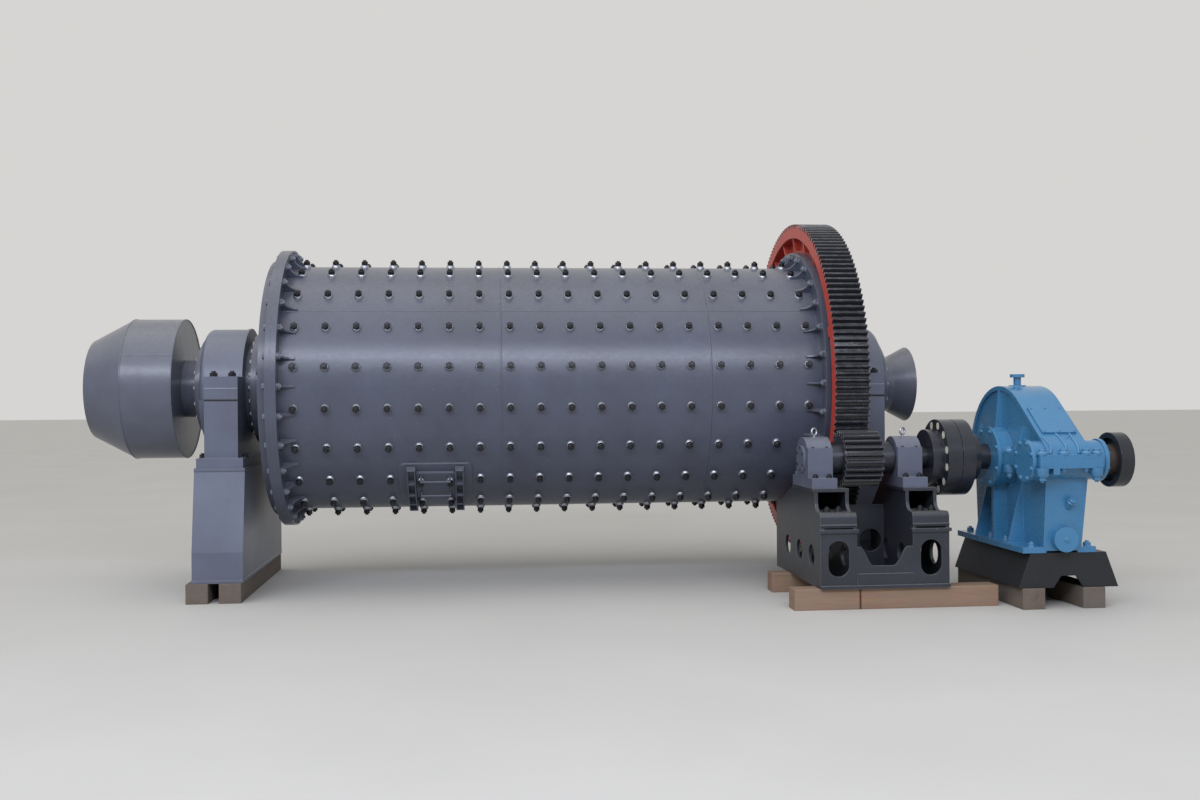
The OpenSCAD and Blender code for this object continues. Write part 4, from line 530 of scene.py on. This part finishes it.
# Pinion and its shaft: cut steel under black grease, turned collars beside it.
# Glints sit on the lumps of grease.
def grease(name, colour, rough):
    """Black grease on cut steel: lumpy and glossy, thin in places."""
    material, tree, place = blank(name)
    lumps = add(tree, "ShaderNodeTexNoise", {"Vector": place, "Scale": 60.0, "Detail": 5.0})
    thin = add(tree, "ShaderNodeMapRange", {"Value": lumps.outputs[0], "From Min": 0.55, "From Max": 0.75,
                                            "To Max": 0.2})
    body = add(tree, "ShaderNodeMix", {0: thin.outputs[0], 6: linear(colour), 7: linear("#55565c")},
               data_type="RGBA")
    # The edges are painted pale: partly grease rubbed off, partly a painted highlight.
    soft, edge_wear_and_glint = rounded_edge_wear_and_highlight(tree, 0.003, 0.8)
    tips_wear_and_glint = add(tree, "ShaderNodeMix", {0: edge_wear_and_glint, 6: body.outputs[2], 7: linear("#b4b7be")}, data_type="RGBA")
    relief = add(tree, "ShaderNodeBump", {"Height": lumps.outputs[0], "Normal": soft, "Strength": 0.12,
                                          "Distance": 0.003})
    skin = add(tree, "ShaderNodeBsdfPrincipled", {"Base Color": tips_wear_and_glint.outputs[2], "Roughness": rough,
                                                  "Normal": relief.outputs[0]})
    add(tree, "ShaderNodeOutputMaterial", {"Surface": skin.outputs[0]})
    return material


dress(grease("black_grease", "#292a2f", 0.16), "pinion")
dress(steel("turned_oiled_shaft", "#4a4c54", "#33353b", 0.35, 0.8), "pinion_shaft", "gearbox_output_shaft",
      "gearbox_input_shaft")

# Pinion bearings: split housings on feet, blue-grey, each with a lifting eye on its cap.
# Four cap screws stand on the lugs, small ones hold the end cover, and nuts hold the foot.
eye_z = bounds_of("left_pinion_bearing_cap")[1][2] - 0.075
bearing_grey = paint("pinion_bearing_paint", "#5a6071", "#4d5262", 0.42, bare_from=eye_z)
dress(bearing_grey, "left_pinion_bearing_base", "left_pinion_bearing_cap", "right_pinion_bearing_base",
      "right_pinion_bearing_cap")
shaft_y, shaft_z = middle[1] - 1.5487, middle[2] - 0.6113
cap_lug_z, cap_bolt_y, foot_t, foot_bolt_y, bolt_half = 0.092, 0.160, 0.080, 0.225, 0.055
for name in ("left", "right"):
    low, high = bounds_of(name + "_pinion_bearing_base")
    xs = (low[0] + high[0]) / 2
    lugs = [(xs + a, shaft_y + b, shaft_z + cap_lug_z) for a in (-bolt_half, bolt_half)
            for b in (-cap_bolt_y, cap_bolt_y)]
    foot = [(xs + a, shaft_y + b, low[2] + foot_t) for a in (-bolt_half, bolt_half)
            for b in (-foot_bolt_y, foot_bolt_y)]
    bolts = screws(lugs, (0, 0, 1), 0.012) + nuts(foot, (0, 0, 1), 0.024)
    piece(name + "_pinion_bearing_bolts", bolts, dark_bolt, "frame")
axle = np.array([bounds_of("left_pinion_bearing_base")[0][0], shaft_y, shaft_z])
cover = [(0.0, 0.016), (0.100, 0.016), (0.108, 0.010), (0.108, -0.001)]
piece("left_pinion_bearing_cover", [turned(cover, 64, axle, (-1, 0, 0))], bearing_grey, "frame")
piece("left_pinion_cover_screws", screws(ring_feet(-0.016, 0.090, 60.0 * np.arange(6) + 30, axle), (-1, 0, 0),
                                         0.010), dark_bolt, "frame")

# Pinion base: welded plate, dark grey, with hold-down nuts on the shelves under the bearing seats.
# The long timber in front of it is two boards, and the dark end of one shows at their joint.
# Its pale rims are partly worn paint and partly a painted highlight on the edges.
dark_base = paint("dark_base_paint", "#2b2f38", "#23262d", 0.42, dust=0.3, rim="#9a9ca3", worn=0.6)
dress(dark_base, "pinion_base")
low, high = bounds_of("pinion_base")
shelf_z = low[2] + 0.581
hold = [(x, shaft_y - 0.34, shelf_z) for x in (low[0] + 0.10, low[0] + 0.19)]
hold += [(x, shaft_y - 0.34, shelf_z) for x in (high[0] - 0.20, high[0] - 0.11)]
piece("base_shelf_nuts", nuts(hold, (0, 0, 1), 0.030), dark_bolt, "frame")
board_low, board_high = bounds_of("pinion_timbers")
joint_x, joint_w = 2.123, 0.016
joint = straight((joint_x, board_low[1], board_low[2] + 0.004), (joint_x, board_low[1], board_high[2] - 0.004))
joint_wood = timber("dark_wet_board_end", (1.0, 1.0, 0.2), "#2c1c18", "#5b352b", "#4a3029")
piece("front_timber_joint", [bead(joint, (0, -1, 0), joint_w, 0.002)], joint_wood, "frame")

# Low-speed coupling: two turned discs in black gloss paint, joined by off-white nylon pins.
# The pins' round ends show in a ring on the left-hand disc.
black = paint("black_coupling_paint", "#272a33", "#1d1f26", 0.24, dust=0.03, fleck=0.02, wave=0.05,
              rim="#777b86")
dress(black, "coupling_driven_half", "coupling_driving_half")
material, tree, place = blank("off_white_nylon")
speck = add(tree, "ShaderNodeTexNoise", {"Vector": place, "Scale": 50.0, "Detail": 4.0})
stain = add(tree, "ShaderNodeMapRange", {"Value": speck.outputs[0], "From Min": 0.45, "From Max": 0.75})
body = add(tree, "ShaderNodeMix", {0: stain.outputs[0], 6: linear("#d8d4c4"), 7: linear("#9a9686")},
           data_type="RGBA")
skin = add(tree, "ShaderNodeBsdfPrincipled", {"Base Color": body.outputs[2], "Roughness": 0.45,
                                              "Subsurface Weight": 0.05})
add(tree, "ShaderNodeOutputMaterial", {"Surface": skin.outputs[0]})
dress(material, "coupling_pins")

# Half coupling for the motor: a turned steel hub and rim, pressed on the gearbox's input shaft.
# The rim is painted black, and the bare hub and bore have a film of brown rust.
material, tree, place = blank("black_rim_and_rusty_hub")
hub_r = 0.128
hub_low, hub_high = bounds_of("motor_half_coupling")
axle = (hub_low + hub_high) / 2
local = add(tree, "ShaderNodeVectorMath", {0: place, 1: tuple(axle)}, operation="SUBTRACT")
flat = add(tree, "ShaderNodeVectorMath", {0: local.outputs[0], 1: (0.0, 1.0, 1.0)}, operation="MULTIPLY")
radius = add(tree, "ShaderNodeVectorMath", {0: flat.outputs[0]}, operation="LENGTH")
hub = add(tree, "ShaderNodeMapRange", {"Value": radius.outputs["Value"], "From Min": hub_r,
                                       "From Max": hub_r - 0.008})
cloud = add(tree, "ShaderNodeTexNoise", {"Vector": place, "Scale": 22.0, "Detail": 6.0})
rust = add(tree, "ShaderNodeMix", {0: cloud.outputs[0], 6: linear("#2b2725"), 7: linear("#4f453e")},
           data_type="RGBA")
body = add(tree, "ShaderNodeMix", {0: hub.outputs[0], 6: linear("#212329"), 7: rust.outputs[2]},
           data_type="RGBA")
gloss = add(tree, "ShaderNodeMix", {0: hub.outputs[0], 2: 0.28, 3: 0.5})
soft, edge_wear_and_glint = rounded_edge_wear_and_highlight(tree, 0.004, 0.3)
relief = add(tree, "ShaderNodeBump", {"Height": cloud.outputs[0], "Normal": soft, "Strength": 0.2,
                                      "Distance": 0.004})
skin = add(tree, "ShaderNodeBsdfPrincipled", {"Base Color": body.outputs[2], "Roughness": gloss.outputs[0],
                                              "Normal": relief.outputs[0]})
add(tree, "ShaderNodeOutputMaterial", {"Surface": skin.outputs[0]})
dress(material, "motor_half_coupling")

# Gearbox: cast casing in two halves, sky blue gloss paint over everything, its screws as well.
# Covers are screwed round their rims, the halves through the parting flange, the foot to the stand.
# Its pale blue rims are partly worn paint and partly a painted highlight on the edges.
sky_blue = paint("sky_blue_gloss", "#3c789f", "#38719a", 0.28, dust=0.03, coat=0.35, fleck=0.0, wave=0.06,
                 rim="#7fb2da", worn=0.5)
dress(sky_blue, "gearbox_lower_case", "gearbox_upper_case", "gearbox_bearing_covers",
      "gearbox_inspection_cover", "gearbox_breather", "gearbox_oil_cover")
low, high = bounds_of("gearbox_bearing_covers")
case_x = (low[0] + high[0]) / 2
output = np.array([0.0, shaft_y, shaft_z])
shaft_gap, case_top_r, nose_r = 0.682, 0.571, 0.165
front = output - [0.0, shaft_gap, 0.0]
eighths = 45.0 * np.arange(8) + 22.5
rims = []
for centre, radius in ((output, 0.218), (front, 0.140)):
    for x, out in ((low[0], -1), (high[0], 1)):
        rims += screws(ring_feet(x, radius, eighths, centre), (out, 0, 0), 0.016)
piece("gearbox_cover_screws", rims, sky_blue, "frame")

flange_half, boss_up, boss_down = 0.052, 0.018, 0.062
flange_top, flange_low = shaft_z + flange_half, shaft_z - flange_half
corners = [(case_x + a, shaft_y + b) for a in (-0.235, 0.190) for b in (-0.852, -0.300, 0.300, 0.520)]
ends = [(case_x + 0.020 + a, shaft_y - 0.850) for a in (-0.087, 0.087)]
bosses = [turned([(0.0, boss_up), (0.034, boss_up), (0.040, 0.012), (0.040, -0.004)], 24,
                 [(x, y, flange_top) for x, y in corners + ends], (0, 0, 1)),
          turned([(0.0, boss_down), (0.040, boss_down), (0.046, 0.054), (0.050, -0.004)], 24,
                 [(x, y, flange_low) for x, y in corners], (0, 0, -1))]
bolts = screws([(x, y, flange_top + boss_up) for x, y in corners + ends], (0, 0, 1), 0.030)
bolts += nuts([(x, y, flange_low - boss_down) for x, y in corners], (0, 0, -1), 0.032)
bolts += nuts([(x, y, flange_low) for x, y in ends], (0, 0, -1), 0.024)
piece("gearbox_flange_bolts", bosses + bolts, sky_blue, "frame")

foot_z = bounds_of("gearbox_lower_case")[0][2] + 0.045
places = [(case_x + a, shaft_y + b, foot_z) for a in (-0.200, 0.245) for b in (-0.590, -0.14, 0.14, 0.560)]
piece("gearbox_foot_nuts", nuts(places, (0, 0, 1), 0.030), sky_blue, "frame")

slope = np.arcsin((case_top_r - nose_r) / shaft_gap)
normal = np.array([0.0, -np.sin(slope), np.cos(slope)])
down = np.array([0.0, -np.cos(slope), -np.sin(slope)])
lid_low, lid_high = bounds_of("gearbox_inspection_cover")
lid = (lid_low + lid_high) / 2 + normal * 0.008
places = [lid + np.array([a, 0.0, 0.0]) + down * b for a in (-0.118, 0.0, 0.118) for b in (-0.143, 0.143)]
piece("gearbox_lid_screws", screws(places, normal, 0.012), sky_blue, "frame")

# Cast ridges run down the nose to the flange and frame a pocket with one screw in it. They stand
# on the casing's slope and bend with its rounded front.
nose_turn = np.linspace(slope, np.radians(71.0), 14)
bent = np.stack([-nose_r * np.sin(nose_turn), nose_r * np.cos(nose_turn)], -1)
run = bent[0] - np.linspace(0.30, 0.0, 16, endpoint=False)[:, None] * down[None, 1:]
outline = np.concatenate([run, bent])
square = np.concatenate([np.repeat(normal[None, 1:], 16, 0), bent / nose_r])


def ridge(x, bow, first):
    """A cast ridge down the nose's outline: x, bowed to the right by bow * (4 t (1 - t)), t from 0 to 1."""
    t = np.linspace(0.0, 1.0, len(outline) - first)
    line = np.column_stack([x + bow * 4 * t * (1 - t), outline[first:] + front[1:]])
    return bead(line, np.column_stack([0 * t, square[first:]]), 0.022, 0.013)


upper_x = case_x - 0.020
pocket_top = np.array([0.0, *(outline[9] + front[1:])])
frame_top = bead(straight(pocket_top + [upper_x - 0.035, 0, 0], pocket_top + [upper_x + 0.075, 0, 0]), normal,
                 0.022, 0.013)
pocket_screw = screws(pocket_top + [upper_x + 0.045, 0, 0] + down * 0.06, normal, 0.014)
piece("gearbox_nose_ridges", [ridge(upper_x - 0.150, 0.022, 12), ridge(upper_x - 0.035, 0.025, 9),
                              ridge(upper_x + 0.075, 0.006, 9), frame_top] + pocket_screw, sky_blue, "frame")

oil_low, oil_high = bounds_of("gearbox_oil_cover")
centre = (oil_low + oil_high) / 2
centre[1] = oil_low[1]  # the cover's front face
piece("gearbox_oil_cover_screw", screws(centre, (0, -1, 0), 0.020), sky_blue, "frame")
gauge = [(0.0, 0.085), (0.020, 0.085), (0.024, 0.080), (0.024, 0.062), (0.030, 0.060), (0.036, -0.05)]
spot = np.array([case_x + 0.049, shaft_y - 0.692, shaft_z - 0.341])
piece("gearbox_oil_gauge", [turned(gauge, 24, spot, (0.0, -0.85, 0.53))], sky_blue, "frame")

# Gearbox stand: welded black box with sloping sides, on two timbers.
# It is brushed with black primer, dull and dusty.
dress(paint("black_stand_paint", "#1c1e24", "#15161a", 0.5, dust=0.12, fleck=0.05, rim="#4a4c52"),
      "gearbox_stand")

low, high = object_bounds()
